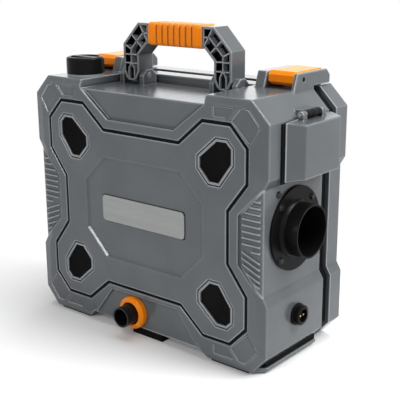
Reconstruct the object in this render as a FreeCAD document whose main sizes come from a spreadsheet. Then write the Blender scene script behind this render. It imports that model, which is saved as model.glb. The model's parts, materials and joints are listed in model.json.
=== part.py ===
import FreeCAD, Part
import math
import os
import re
import Sketcher

# Driving dimensions in millimetres: X to the right, Y to the rear, Z up, floor at Z = 0
SIZES = {
    # Case outline
    "case_half_w": 178,
    "case_half_d": 79,
    "case_top": 306,
    "foot_h": 3,
    "waist_half_w": 172,
    "top_half_w": 155,
    "base_half_w": 158,
    "base_corner_z": 25,
    "low_block_z": 85,
    "waist_low_z": 95,
    "waist_high_z": 214,
    "high_block_z": 224,
    "top_corner_z": 283,
    "arch_half_w": 88,
    "arch_z": 11,
    "arch_slope": 8,
    "bevel_d": 3,
    "face_half_w": 165,
    "face_half_h": 144.5,
    # Walls, seam and general clearances
    "wall": 4,
    "side_wall": 8,
    "front_wall": 8,
    "shell_rear": 37,
    "seam_w": 15,
    "seam_inset": 5,
    "lid_gap": 0.8,
    "fit_gap": 0.3,
    "side_play": 0.5,
    "pin_play": 0.05,
    "overrun": 1,
    # Cavity
    "cavity_low_z": 15,
    "cavity_high_z": 292,
    "cavity_corner": 18,
    "shoulder_z": 296,
    "shoulder_half_w": 100,
    # Front panel, its seal, octagon and nameplate
    "panel_t": 5,
    "seal_w": 3.6,
    "panel_neck_half_w": 59,
    "panel_neck_half_h": 93.5,
    "panel_arm_x": 92.5,
    "panel_half_h": 122,
    "panel_corner_x": 129,
    "panel_half_w": 150,
    "panel_corner_h": 100,
    "panel_arm_h": 63.5,
    "panel_waist_half_w": 124.5,
    "panel_waist_half_h": 30.5,
    "octagon_half_w": 92,
    "octagon_half_h": 63,
    "octagon_flat_half_w": 60,
    "octagon_flat_half_h": 31,
    "octagon_d": 2.5,
    "octagon_bevel": 3,
    "plate_half_w": 64.5,
    "plate_half_h": 16,
    "plate_t": 1.5,
    "plate_corner_r": 5,
    # Vents
    "vent_x": 109.5,
    "vent_dz": 81,
    "vent_half_w": 25.5,
    "vent_half_h": 26.8,
    "vent_rim": 4.2,
    "vent_gap": 1.4,
    "vent_d": 4,
    "screen_t": 1.5,
    # Rib zones and corner pads
    "rib_inner_x": 140.5,
    "rib_flat_half_h": 27.7,
    "rib_half_h": 61,
    "rib_h": 2.2,
    "rib_half_t": 1.2,
    "pad_d": 1,
    "pad_a_x": 107,
    "pad_a_w": 29,
    "pad_a_h": 12,
    "pad_top_z": 296,
    "pad_b_x": 149,
    "pad_b_z": 278,
    "pad_b_half_w": 18,
    "pad_b_half_h": 18,
    # Handle bay and exhaust bay
    "bay_half_w": 95,
    "bay_floor_z": 295.5,
    "bay_rear": 14,
    "bay_face_d": 4,
    "bay_foot_half_w": 51,
    "bay_foot_z": 263,
    "exhaust_bay_half_w": 52,
    "exhaust_bay_z": 51,
    "exhaust_bay_foot_half_w": 84,
    "exhaust_bay_d": 2.5,
    # Handle
    "handle_front": -16,
    "handle_rear": 10,
    "handle_half_w": 83,
    "handle_leg_w": 25,
    "handle_top_z": 370,
    "handle_shoulder_z": 344,
    "handle_bar_h": 24,
    "handle_inner_corner": 14,
    "handle_pivot_y": -5.5,
    "handle_pivot_z": 308,
    "handle_foot_z": 297,
    "handle_foot_in": 7,
    "handle_foot_h": 14,
    "handle_foot_cut_y": 6.5,
    "handle_foot_cut_z": 6,
    "handle_pocket_d": 9,
    "handle_rim": 3,
    "handle_rib_half_t": 0.8,
    "handle_pin_r": 3,
    "handle_lug_w": 7,
    "handle_lug_top_z": 314,
    "handle_lug_rear": 8,
    "handle_lug_slope": 7,
    "grip_half_w": 41,
    "grip_t": 1.5,
    "grip_groove_w": 3,
    "grip_groove_pitch": 9,
    "grip_groove_d": 0.8,
    # Latches
    "latch_in_x": 118,
    "latch_out_x": 152,
    "latch_lug_w": 13,
    "latch_outer_lug_w": 5,
    "latch_pivot_y": 16,
    "latch_pivot_z": 316.5,
    "latch_pin_r": 2.5,
    "latch_front": 5,
    "latch_rear": 64,
    "latch_top_z": 325,
    "latch_chamfer": 4,
    "latch_web_z": 314,
    "latch_boss_z": 309,
    "latch_boss_half_w": 5,
    "latch_claw_t": 4.2,
    "latch_claw_z": 307.5,
    "latch_lug_front": -3,
    "latch_lug_slope": 7,
    "latch_lug_rear": 70,
    "latch_lug_top_z": 324,
    "latch_lug_foot_z": 303,
    "latch_lug_clear": 1.5,
    "keeper_t": 4,
    "keeper_h": 5,
    # Rear cover and its hinge
    "cover_cavity_low_z": 18,
    "hinge_y": 74,
    "hinge_z": 8,
    "hinge_eye_r": 4.4,
    "hinge_pin_r": 2,
    "hinge_x": 56,
    "hinge_half_w": 6,
    "hinge_lug_w": 6.5,
    "hinge_arm_front": 10,
    "hinge_arm_low_z": 5,
    "hinge_notch_h": 6,
    # Side rails, slots and strips
    "rail_half_w": 170,
    "rail_front": -74,
    "slot_front": -62,
    "slot_t": 4,
    # Air outlet and its screws
    "duct_y": -18,
    "duct_z": 160,
    "duct_r": 30,
    "duct_wall": 2.2,
    "duct_end": 195,
    "duct_start": 149,
    "flange_r": 47.4,
    "flange_t": 3,
    "hub_r": 33,
    "hub_t": 1.5,
    "hub_slope": 2,
    "flange_screw_pcd_r": 42,
    "screw_r": 2,
    "screw_head_r": 4,
    "screw_head_t": 2,
    "screw_l": 6,
    "side_screw_y": -50,
    "side_screw_z": 204,
    # Power socket
    "socket_y": -18,
    "socket_z": 60,
    "socket_r": 9,
    "socket_flange_r": 12.5,
    "socket_flange_t": 2.5,
    "socket_end": 187,
    "socket_start": 164,
    "socket_bore_r": 7,
    "socket_bore_d": 8,
    "socket_pin_r": 1.2,
    "socket_pin_x": 6,
    "socket_pin_gap": 3,
    # Exhaust and air intake
    "exhaust_x": -17,
    "exhaust_z": 30,
    "exhaust_r": 12.5,
    "exhaust_stub_l": 14.5,
    "exhaust_tube_r": 12,
    "exhaust_bore_r": 10.5,
    "exhaust_end": -101,
    "exhaust_bend_r": 24,
    "exhaust_top_z": 111,
    "collar_r": 20,
    "collar_bore_r": 14,
    "collar_t": 9,
    "collar_round": 3,
    "intake_x": -50,
    "intake_r": 9,
    "intake_bore_r": 7.5,
    # Fuel filler, cap and tank
    "filler_x": -120,
    "filler_y": -45,
    "filler_flange_r": 22.5,
    "filler_flange_t": 2.5,
    "filler_r": 17,
    "filler_bore_r": 14.5,
    "filler_rise": 11,
    "filler_low_z": 287,
    "cap_r": 23,
    "cap_h": 16.5,
    "cap_wall": 4,
    "cap_dish_r": 17.5,
    "cap_dish_d": 3.4,
    "cap_bar_half_w": 4,
    "gasket_t": 3,
    "tank_left": -148,
    "tank_right": 100,
    "tank_rear": 30,
    "tank_low_z": 214,
    "tank_wall": 3,
    "ledge_t": 5,
    "ledge_d": 20,
    # Side cover over the controls
    "flap_front": -52,
    "flap_rear": 36,
    "flap_low_z": 218,
    "flap_high_z": 282,
    "flap_base_x": 180,
    "flap_face_x": 197,
    "flap_face_front_in": 15,
    "flap_face_rear_in": 5,
    "flap_face_in_z": 3,
    "flap_wall": 4,
    "gasket_w": 4,
    "flap_hinge_x": 184,
    "flap_hinge_z": 287,
    "flap_eye_r": 4,
    "flap_pin_r": 1.5,
    "flap_knuckle_half_w": 14,
    "flap_knuckle_w": 8,
    # Controls under the side cover
    "bezel_front": -44,
    "bezel_rear": 28,
    "bezel_low_z": 226,
    "bezel_high_z": 276,
    "bezel_t": 4,
    "board_t": 3,
    "board_gap": 2,
    "board_margin": 2,
    "standoff": 5,
    "window_front": -39,
    "window_rear": 2,
    "window_low_z": 234,
    "window_high_z": 268,
    "window_t": 2,
    "key_r": 4.5,
    "key_gap": 0.3,
    "key_rise": 1.2,
    "key_travel": 0.8,
    "key_y": 15,
    "key_pitch": 12.5,
    # Heater unit on the duct axis
    "shroud_r": 48,
    "shroud_wall": 2.5,
    "shroud_start": -122,
    "exchanger_r": 30,
    "exchanger_bore_r": 26,
    "exchanger_start": -40,
    "exchanger_end": 130,
    "fin_half_t": 1.2,
    "burner_r": 20,
    "burner_wall": 2,
    "burner_end": 70,
    "burner_flange_t": 4,
    "burner_cup_start": -57,
    "burner_cup_wall": 3,
    "glow_plug_r": 4,
    "glow_plug_x": -25,
    "glow_plug_h": 12,
    "motor_r": 22,
    "motor_start": -98,
    "motor_flange_t": 3,
    "motor_window_r": 8,
    "motor_window_pcd_r": 34,
    "shaft_r": 4,
    "shaft_start": -118,
    "shaft_end": -46,
    "fan_start": -116,
    "fan_t": 14,
    "fan_hub_r": 14,
    "fan_r": 43,
    "fan_blade_half_t": 1.2,
    "combustion_fan_t": 7,
    "combustion_fan_r": 27,
    "cradle_x": 84,
    "cradle_half_t": 2,
    "cradle_h": 115,
    "cradle_rear": -8,
    # Air inlet grille
    "grille_r": 41,
    "grille_t": 3,
    "inlet_r": 36,
    "grille_slot_half_h": 2.5,
    "grille_slot_pitch": 9,
    # Fuel pump, lines, control unit and harness
    "pump_x": -88,
    "pump_half_l": 40,
    "pump_y": 12,
    "pump_z": 60,
    "pump_r": 14,
    "pump_nose_r": 5,
    "pump_nose_l": 10,
    "clamp_t": 3,
    "clamp_half_w": 6,
    "clamp_foot_half_w": 9,
    "line_r": 3,
    "line_bend_r": 12,
    "line_out_x": -30,
    "line_top_z": 120.5,
    "unit_left": 92,
    "unit_right": 140,
    "unit_front": -60,
    "unit_rear": -8,
    "unit_h": 30,
    "unit_corner": 4,
    "harness_r": 4,
    "harness_bend_r": 14,
    "harness_x": 125,
    "harness_y": 42,
    "harness_z": 250,
    "harness_start_z": 30,
    # Feet
    "foot_half_l": 26,
    "foot_half_d": 11,
    "foot_x": 126,
    "foot_y": 44,
    "foot_mid_y": -18,
    "centre_foot_half_w": 24,
}

# Counts and angles of what repeats
GRIP_GROOVES = 7
FIN_COUNT = 16
FAN_BLADES = 9
FLANGE_SCREWS = 4
MOTOR_WINDOWS = 8
GRILLE_SLOTS = 8

# Outlines as shares of the sizes that they follow
VENT_SHARES = [(0.02, 1), (0.65, 1), (1, 0.67), (1, -0.04), (0.26, -1), (-0.38, -1), (-1, -0.38), (-1, 0.17)]
PAD_A_SHARES = [(0, 1), (1, 1), (0.62, 0), (0, 0)]
PAD_B_SHARES = [(-0.35, 1), (0.2, 1), (1, 0.05), (0.3, -1), (-1, 0.25)]
SLOT_SHARES = (0.2, 0.5)
RIB_END_SHARE = 0.89
RIB_SHARES = [
    (0.65, 0.754, 0.754),
    (0.44, 0.639, 0.639),
    (0.24, 0.525, 0.525),
    (0.12, 0.41, 0.41),
    (0.12, 0.295, 0.295),
    (0.12, 0.18, 0.18),
    (0.12, 0.066, 0.066),
    (0.12, -0.049, -0.049),
    (0.52, -0.164, -0.164),
    (0.12, -0.197, -0.352),
    (0.12, -0.311, -0.467),
    (0.16, -0.426, -0.582),
    (0.35, -0.582, -0.697),
    (0.65, -0.745, -0.8),
]
HANDLE_RIB_SHARES = (0.3, 0.62)

MID = "(foot_h + case_top) / 2"
SKIN = "case_half_d"
NORMAL = {"XY_Plane": 1, "XZ_Plane": -1, "YZ_Plane": 1}
TURN = {"X": ("XZ_Plane", "H_Axis"), "Y": ("YZ_Plane", "H_Axis"), "Z": ("XZ_Plane", "V_Axis")}
WORD = re.compile(r"[a-z_][a-z0-9_]*")

doc = FreeCAD.newDocument("ParkingHeater")
sheet = doc.addObject("Spreadsheet::Sheet", "dims")
for row, (alias, size) in enumerate(SIZES.items(), 1):
    sheet.set(f"A{row}", alias)
    sheet.set(f"B{row}", str(size))
    sheet.setAlias(f"B{row}", alias)
doc.recompute()
nodes = []


# Expressions on the sheet
def cell(text):
    def with_sheet(found):
        word = found.group()
        return "dims." + word if word in SIZES else word

    return WORD.sub(with_sheet, str(text))


def value(text):
    return float(sheet.evalExpression(cell(text)))


def mirrored(points):
    return [(f"-({x})", z) for x, z in reversed(points)]


def flipped(points):
    return [(x, f"2 * {MID} - ({z})") for x, z in reversed(points)]


def rectangle(x_low, x_high, y_low, y_high):
    return [(x_low, y_low), (x_high, y_low), (x_high, y_high), (x_low, y_high)]


def inset(points, gap):
    # Mitred offset of a counter-clockwise outline, inwards for a positive gap
    moved = []
    for index, (x, y) in enumerate(points):
        x_before, y_before = points[index - 1]
        x_after, y_after = points[(index + 1) % len(points)]
        run_a, rise_a = f"(({x}) - ({x_before}))", f"(({y}) - ({y_before}))"
        run_b, rise_b = f"(({x_after}) - ({x}))", f"(({y_after}) - ({y}))"
        length_a = f"sqrt({run_a}^2 + {rise_a}^2)"
        length_b = f"sqrt({run_b}^2 + {rise_b}^2)"
        spread = f"({length_a} * {length_b} + {run_a} * {run_b} + {rise_a} * {rise_b})"
        shift_x = f"(-{rise_a} * {length_b} - {rise_b} * {length_a}) / {spread}"
        shift_y = f"({run_a} * {length_b} + {run_b} * {length_a}) / {spread}"
        moved.append((f"({x}) + ({gap}) * ({shift_x})", f"({y}) + ({gap}) * ({shift_y})"))
    return moved


# Sketches and features
def new_body(label):
    body = doc.addObject("PartDesign::Body", label)
    body.Label = label
    return body


def draw(body, plane, at, outlines=(), circles=()):
    drawing = body.newObject("Sketcher::SketchObject", body.Name + "_sketch")
    support = [item for item in body.Origin.OriginFeatures if item.Role == plane][0]
    drawing.AttachmentSupport = [(support, "")]
    drawing.MapMode = "FlatFace"
    drawing.setExpression("AttachmentOffset.Base.z", cell(f"{NORMAL[plane]} * ({at})"))
    constraints = []
    bound = []
    for outline in outlines:
        corners = [FreeCAD.Vector(value(x), value(y), 0) for x, y in outline]
        first = drawing.GeometryCount
        count = len(corners)
        drawing.addGeometry([Part.LineSegment(corners[i], corners[(i + 1) % count]) for i in range(count)])
        for i in range(count):
            constraints.append(Sketcher.Constraint("Coincident", first + i, 2, first + (i + 1) % count, 1))
        for i, (x, y) in enumerate(outline):
            bound.append((len(constraints), x))
            constraints.append(Sketcher.Constraint("DistanceX", -1, 1, first + i, 1, corners[i].x))
            bound.append((len(constraints), y))
            constraints.append(Sketcher.Constraint("DistanceY", -1, 1, first + i, 1, corners[i].y))
    for x, y, radius in circles:
        number = drawing.GeometryCount
        centre = FreeCAD.Vector(value(x), value(y), 0)
        drawing.addGeometry(Part.Circle(centre, FreeCAD.Vector(0, 0, 1), value(radius)))
        bound.append((len(constraints), x))
        constraints.append(Sketcher.Constraint("DistanceX", -1, 1, number, 3, centre.x))
        bound.append((len(constraints), y))
        constraints.append(Sketcher.Constraint("DistanceY", -1, 1, number, 3, centre.y))
        bound.append((len(constraints), radius))
        constraints.append(Sketcher.Constraint("Radius", number, value(radius)))
    drawing.addConstraint(constraints)
    for number, text in bound:
        drawing.setExpression(f"Constraints[{number}]", cell(text))
    return drawing


def require_change(body, before, grows):
    doc.recompute()
    after = body.Shape.Volume
    if (after > before) != grows or after == before:
        raise ValueError(f"{body.Label}: a feature went the wrong way, {before:.1f} to {after:.1f}")


def extrude(body, plane, start, end, outlines=(), circles=(), cut=False):
    before = body.Shape.Volume if body.Tip else 0
    drawing = draw(body, plane, start, outlines, circles)
    rising = value(end) > value(start)
    along_normal = rising == (NORMAL[plane] > 0)
    feature = body.newObject("PartDesign::Pocket" if cut else "PartDesign::Pad", body.Name + "_step")
    feature.Profile = drawing
    feature.Refine = False
    low, high = (start, end) if rising else (end, start)
    feature.setExpression("Length", cell(f"({high}) - ({low})"))
    feature.Reversed = along_normal if cut else not along_normal
    require_change(body, before, not cut)
    return feature


def loft(body, plane, sections, cut=False):
    before = body.Shape.Volume if body.Tip else 0
    drawings = [draw(body, plane, at, [outline]) for at, outline in sections]
    kind = "PartDesign::SubtractiveLoft" if cut else "PartDesign::AdditiveLoft"
    feature = body.newObject(kind, body.Name + "_loft")
    feature.Profile = drawings[0]
    feature.Refine = False
    feature.Sections = drawings[1:]
    feature.Ruled = True
    require_change(body, before, not cut)


def turn(body, axis, outline, cut=False):
    # The outline gives the place along the axis and the radius
    before = body.Shape.Volume if body.Tip else 0
    plane, line = TURN[axis]
    points = [(radius, along) for along, radius in outline] if axis == "Z" else outline
    drawing = draw(body, plane, "0", [points])
    feature = body.newObject("PartDesign::Groove" if cut else "PartDesign::Revolution", body.Name + "_turn")
    feature.Profile = drawing
    feature.ReferenceAxis = (drawing, [line])
    feature.Angle = 360
    require_change(body, before, not cut)


def place(item, x="0", y="0", z="0"):
    for axis, text in zip("xyz", (x, y, z)):
        item.setExpression(f"Placement.Base.{axis}", cell(text))
    return item


def box(name, x_low, x_high, y_low, y_high, z_low, z_high):
    solid = doc.addObject("Part::Box", name)
    for side, low, high in (("Length", x_low, x_high), ("Width", y_low, y_high), ("Height", z_low, z_high)):
        solid.setExpression(side, cell(f"({high}) - ({low})"))
    return place(solid, x_low, y_low, z_low)


def rod(name, axis, start, end, radius, at):
    # A cylinder along an axis, with its other two coordinates in at
    solid = doc.addObject("Part::Cylinder", name)
    turns = {
        "X": FreeCAD.Rotation(FreeCAD.Vector(0, 1, 0), 90),
        "Y": FreeCAD.Rotation(FreeCAD.Vector(1, 0, 0), -90),
    }
    if axis in turns:
        solid.Placement = FreeCAD.Placement(FreeCAD.Vector(0, 0, 0), turns[axis])
    solid.setExpression("Height", cell(f"({end}) - ({start})"))
    solid.setExpression("Radius", cell(radius))
    first, second = at
    base = {"X": (start, first, second), "Y": (first, start, second), "Z": (first, second, start)}[axis]
    return place(solid, *base)


def subtract(name, base, *tools):
    result = base
    for tool in tools:
        piece = doc.addObject("Part::Cut", name)
        piece.Base = result
        piece.Tool = tool
        result = piece
    return result


def join(name, first, second):
    whole = doc.addObject("Part::Fuse", name)
    whole.Base = first
    whole.Tool = second
    return whole


def group(name, members):
    together = doc.addObject("Part::Compound", name)
    together.Links = members
    return together


def mirror(name, source):
    copy = doc.addObject("Part::Mirroring", name)
    copy.Source = source
    copy.Normal = FreeCAD.Vector(1, 0, 0)
    return copy


def hose(name, route, radius, bend, bore=None):
    # Straight runs joined by tangent arcs through the corners of the route
    points = [FreeCAD.Vector(*(value(text) for text in point)) for point in route]
    size = value(bend)
    edges = []
    here = points[0]
    for before, corner, after in zip(points, points[1:], points[2:]):
        back = (before - corner).normalize()
        ahead = (after - corner).normalize()
        half_turn = (math.pi - back.getAngle(ahead)) / 2
        reach = size * math.tan(half_turn)
        middle = (back + ahead).normalize()
        bulge = size / math.cos(half_turn) - size
        start, end = corner + back * reach, corner + ahead * reach
        edges.append(Part.LineSegment(here, start).toShape())
        edges.append(Part.Arc(start, corner + middle * bulge, end).toShape())
        here = end
    edges.append(Part.LineSegment(here, points[-1]).toShape())
    path = Part.Wire(edges)
    heading = points[1] - points[0]

    def tube(size):
        circle = Part.Wire(Part.Circle(points[0], heading, size).toShape())
        return path.makePipeShell([circle], True, False)

    solid = tube(value(radius))
    if bore:
        solid = solid.cut(tube(value(bore)))
    piece = doc.addObject("Part::Feature", name)
    piece.Shape = solid
    return piece


def publish(label, item):
    item.Label = label
    nodes.append(item)
    return item


# Shared outlines
def case_outline():
    right = [
        ("arch_half_w + arch_slope", "foot_h"),
        ("base_half_w", "foot_h"),
        ("case_half_w", "base_corner_z"),
        ("case_half_w", "low_block_z"),
        ("waist_half_w", "waist_low_z"),
        ("waist_half_w", "waist_high_z"),
        ("case_half_w", "high_block_z"),
        ("case_half_w", "top_corner_z"),
        ("top_half_w", "case_top"),
    ]
    return [("arch_half_w", "arch_z")] + right + mirrored(right) + [("-arch_half_w", "arch_z")]


def face_outline():
    wide = "face_half_w / case_half_w"
    tall = f"face_half_h / ({MID} - foot_h)"
    return [(f"({x}) * {wide}", f"{MID} + (({z}) - {MID}) * {tall}") for x, z in case_outline()]


def cavity_outline(low):
    side = "waist_half_w - side_wall"
    right = [
        (f"{side} - cavity_corner", low),
        (side, f"{low} + cavity_corner"),
        (side, "shoulder_z - cavity_corner"),
        (f"{side} - cavity_corner", "shoulder_z"),
        ("shoulder_half_w", "shoulder_z"),
        ("shoulder_half_w", "cavity_high_z"),
    ]
    return right + mirrored(right)


def panel_outline():
    quarter = [
        ("panel_waist_half_w", f"{MID} + panel_waist_half_h"),
        ("panel_half_w", f"{MID} + panel_arm_h"),
        ("panel_half_w", f"{MID} + panel_corner_h"),
        ("panel_corner_x", f"{MID} + panel_half_h"),
        ("panel_arm_x", f"{MID} + panel_half_h"),
        ("panel_neck_half_w", f"{MID} + panel_neck_half_h"),
    ]
    right = flipped(quarter) + quarter
    return right + mirrored(right)


def octagon_outline(shrink):
    corner = [
        (f"octagon_half_w - {shrink}", f"{MID} + octagon_flat_half_h - {shrink} / 2"),
        (f"octagon_flat_half_w - {shrink} / 2", f"{MID} + octagon_half_h - {shrink}"),
    ]
    right = flipped(corner) + corner
    return right + mirrored(right)


def vent_outline(side, level):
    points = [
        (f"{side} * (vent_x + {x} * vent_half_w)", f"{MID} + {level} * (vent_dz + {z} * vent_half_h)")
        for x, z in VENT_SHARES
    ]
    return points if side * level < 0 else points[::-1]


def all_vents(gap):
    return [inset(vent_outline(side, level), gap) for side in (1, -1) for level in (1, -1)]


def corner_pads():
    pad_a = [(f"pad_a_x + {x} * pad_a_w", f"pad_top_z - pad_a_h + {z} * pad_a_h") for x, z in PAD_A_SHARES]
    pad_b = [(f"pad_b_x + {x} * pad_b_half_w", f"pad_b_z + {z} * pad_b_half_h") for x, z in PAD_B_SHARES]
    right = [pad_a, pad_b, flipped(pad_a), flipped(pad_b)]
    return right + [mirrored(pad) for pad in right]


def rib_zones():
    right = [
        ("rib_inner_x", f"{MID} - rib_flat_half_h"),
        ("waist_half_w + overrun", f"{MID} - rib_half_h"),
        ("waist_half_w + overrun", f"{MID} + rib_half_h"),
        ("rib_inner_x", f"{MID} + rib_flat_half_h"),
    ]
    return [right, mirrored(right)]


def rib_bars():
    # Each bar runs from its start to a common end, level or falling
    bars = []
    width = "(waist_half_w - rib_inner_x)"
    end = f"rib_inner_x + {RIB_END_SHARE} * {width}"
    for start_share, start_level_share, end_level_share in RIB_SHARES:
        start = f"rib_inner_x + {start_share} * {width}"
        start_z = f"{MID} + {start_level_share} * rib_half_h"
        end_z = f"{MID} + {end_level_share} * rib_half_h"
        right = [
            (start, f"{start_z} - rib_half_t"),
            (end, f"{end_z} - rib_half_t"),
            (end, f"{end_z} + rib_half_t"),
            (start, f"{start_z} + rib_half_t"),
        ]
        bars += [right, mirrored(right)]
    return bars


def slot_outline(depth):
    # A slot square to the chamfer between the base and the side
    run, rise = "(case_half_w - base_half_w)", "(base_corner_z - foot_h)"
    length = f"sqrt({run}^2 + {rise}^2)"
    low, high = SLOT_SHARES
    inwards = (f"-{rise} * {depth} / {length}", f"{run} * {depth} / {length}")
    corners = [(f"base_half_w + {share} * {run}", f"foot_h + {share} * {rise}") for share in (low, high)]
    deeper = [(f"{x} + {inwards[0]}", f"{z} + {inwards[1]}") for x, z in corners]
    return [corners[0], corners[1], deeper[1], deeper[0]]


def around(count, radius, offset_share=0.5):
    # Places on a circle, as pairs of expressions
    angles = [2 * math.pi * (index + offset_share) / count for index in range(count)]
    units = [(math.cos(angle), math.sin(angle)) for angle in angles]
    return [(f"{across:.6f} * ({radius})", f"{along:.6f} * ({radius})") for across, along in units]


def blade_outline(unit, root_r, tip_r, half_t):
    # A radial strip along a unit direction, from its root to its tip
    y, z = unit
    corners = ((root_r, 1), (root_r, -1), (tip_r, -1), (tip_r, 1))
    return [(f"{y} * {radius} - {side} * {z} * {half_t}", f"{z} * {radius} + {side} * {y} * {half_t}")
            for radius, side in corners]


# Places that several pieces share
shell_front = f"-{SKIN}"
cover_front = "shell_rear + seam_w"
panel_floor = f"-{SKIN} + panel_t"
octagon_floor = f"-{SKIN} + octagon_d"
bevel_y = f"{SKIN} - bevel_d"
side_inner = "waist_half_w - side_wall"
flange_screws = [(f"duct_y + {y}", f"duct_z + {z}") for y, z in around(FLANGE_SCREWS, "flange_screw_pcd_r")]
handle_leg_in = "handle_half_w - handle_leg_w"
handle_lugs = [
    (f"{handle_leg_in} - side_play - handle_lug_w", f"{handle_leg_in} - side_play"),
    ("handle_half_w + side_play", "handle_half_w + side_play + handle_lug_w"),
]
latch_lugs = [
    ("latch_in_x - side_play - latch_lug_w", "latch_in_x - side_play"),
    ("latch_out_x + side_play", "latch_out_x + side_play + latch_outer_lug_w"),
]
neck_top_z = "case_top + filler_flange_t + filler_rise"
cap_low_z = "case_top + filler_flange_t + fit_gap"
key_places = [(f"key_y + {y} * key_pitch / 2", f"(window_low_z + window_high_z) / 2 + {z} * key_pitch / 2")
              for y, z in ((-1, 1), (1, 1), (-1, -1), (1, -1))]
board_face_x = "case_half_w - bezel_t - board_gap"
keeper_rear = "latch_rear - latch_claw_t - side_play"


# Front half of the case
def make_front_shell():
    shell = new_body("front_shell")
    extrude(shell, "XZ_Plane", "shell_rear", f"-({bevel_y})", [case_outline()])
    loft(shell, "XZ_Plane", [(f"-({bevel_y})", case_outline()), (shell_front, face_outline())])
    cavity = cavity_outline("cavity_low_z")
    extrude(shell, "XZ_Plane", "shell_rear", f"-{SKIN} + front_wall", [cavity], cut=True)
    add_rails(shell)
    add_cradles(shell)
    add_top_lugs(shell)
    add_flap_hinge(shell)
    add_hinge_arms(shell)
    cut_front(shell)
    cut_openings(shell)
    return publish("front_shell", shell)


def add_rails(shell):
    inner = "base_half_w - overrun"
    rail = [
        (inner, "rail_front"),
        ("base_half_w", "rail_front"),
        ("rail_half_w", "rail_front + rail_half_w - base_half_w"),
        ("rail_half_w", "shell_rear"),
        (inner, "shell_rear"),
    ]
    rail_top = slot_outline("slot_t")[0][1]
    extrude(shell, "XY_Plane", "foot_h", rail_top, [rail, mirrored(rail)])


def add_cradles(shell):
    inner_front = f"-{SKIN} + front_wall - overrun"
    rib = rectangle(inner_front, "cradle_rear", "cavity_low_z - overrun", "cavity_low_z + cradle_h")
    for side in (1, -1):
        centre = f"{side} * cradle_x"
        extrude(shell, "YZ_Plane", f"{centre} - cradle_half_t", f"{centre} + cradle_half_t", [rib])
    room = [("duct_y", "duct_z", "shroud_r + fit_gap")]
    reach = "(cradle_x + cradle_half_t)"
    extrude(shell, "YZ_Plane", f"-{reach}", reach, circles=room, cut=True)
    ledge = rectangle(inner_front, f"{inner_front} + overrun + ledge_d",
                      "tank_low_z - fit_gap - ledge_t", "tank_low_z - fit_gap")
    extrude(shell, "YZ_Plane", "tank_left", "tank_right", [ledge])


def add_top_lugs(shell):
    bay = rectangle("-bay_half_w", "bay_half_w", "bay_floor_z", "case_top + overrun")
    extrude(shell, "XZ_Plane", f"-{SKIN} - overrun", "bay_rear", [bay], cut=True)
    lug = [
        ("handle_front", "bay_floor_z - overrun"),
        ("handle_lug_rear", "bay_floor_z - overrun"),
        ("handle_lug_rear", "handle_lug_top_z - handle_lug_slope"),
        ("handle_lug_rear - handle_lug_slope", "handle_lug_top_z"),
        ("handle_front + handle_lug_slope", "handle_lug_top_z"),
        ("handle_front", "handle_lug_top_z - handle_lug_slope"),
    ]
    latch_lug = [
        ("latch_lug_front", "latch_lug_foot_z"),
        ("shell_rear", "latch_lug_foot_z"),
        ("shell_rear", "case_top + latch_lug_clear"),
        ("latch_lug_rear", "case_top + latch_lug_clear"),
        ("latch_lug_rear", "latch_lug_top_z - latch_lug_slope"),
        ("latch_lug_rear - latch_lug_slope", "latch_lug_top_z"),
        ("latch_lug_front + latch_lug_slope", "latch_lug_top_z"),
    ]
    for places, outline in ((handle_lugs, lug), (latch_lugs, latch_lug)):
        for low, high in places:
            extrude(shell, "YZ_Plane", low, high, [outline])
            extrude(shell, "YZ_Plane", f"-({high})", f"-({low})", [outline])
    handle_hole = [("handle_pivot_y", "handle_pivot_z", "handle_pin_r + pin_play")]
    latch_hole = [("latch_pivot_y", "latch_pivot_z", "latch_pin_r + pin_play")]
    for places, hole in ((handle_lugs, handle_hole), (latch_lugs, latch_hole)):
        low, high = places[0][0], places[1][1]
        extrude(shell, "YZ_Plane", low, high, circles=hole, cut=True)
        extrude(shell, "YZ_Plane", f"-({high})", f"-({low})", circles=hole, cut=True)


def add_flap_hinge(shell):
    middle = "(flap_front + flap_rear) / 2"
    arm = [
        ("top_half_w", "top_corner_z"),
        ("case_half_w - flap_eye_r / 2", "top_corner_z - flap_eye_r"),
        ("case_half_w + fit_gap", "top_corner_z"),
        ("flap_hinge_x", "flap_hinge_z - flap_eye_r"),
        ("flap_hinge_x", "flap_hinge_z + flap_eye_r"),
        ("top_half_w", "flap_hinge_z + flap_eye_r"),
    ]
    start, end = f"{middle} - flap_knuckle_half_w", f"{middle} + flap_knuckle_half_w"
    extrude(shell, "XZ_Plane", start, end, [arm])
    extrude(shell, "XZ_Plane", start, end, circles=[("flap_hinge_x", "flap_hinge_z", "flap_eye_r")])
    hole = [("flap_hinge_x", "flap_hinge_z", "flap_pin_r + pin_play")]
    extrude(shell, "XZ_Plane", start, end, circles=hole, cut=True)


def add_hinge_arms(shell):
    arm = [
        ("hinge_arm_front", "hinge_arm_low_z"),
        ("hinge_y", "hinge_arm_low_z"),
        ("hinge_y", "arch_z - side_play"),
        ("shell_rear", "arch_z - side_play"),
        ("shell_rear", "(arch_z + cavity_low_z) / 2"),
        ("hinge_arm_front", "(arch_z + cavity_low_z) / 2"),
    ]
    eye = [("hinge_y", "hinge_z", "hinge_eye_r")]
    hole = [("hinge_y", "hinge_z", "hinge_pin_r + pin_play")]
    for side in (1, -1):
        start, end = f"{side} * hinge_x - hinge_half_w", f"{side} * hinge_x + hinge_half_w"
        extrude(shell, "YZ_Plane", start, end, [arm])
        extrude(shell, "YZ_Plane", start, end, circles=eye)
        extrude(shell, "YZ_Plane", start, end, circles=hole, cut=True)


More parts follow.
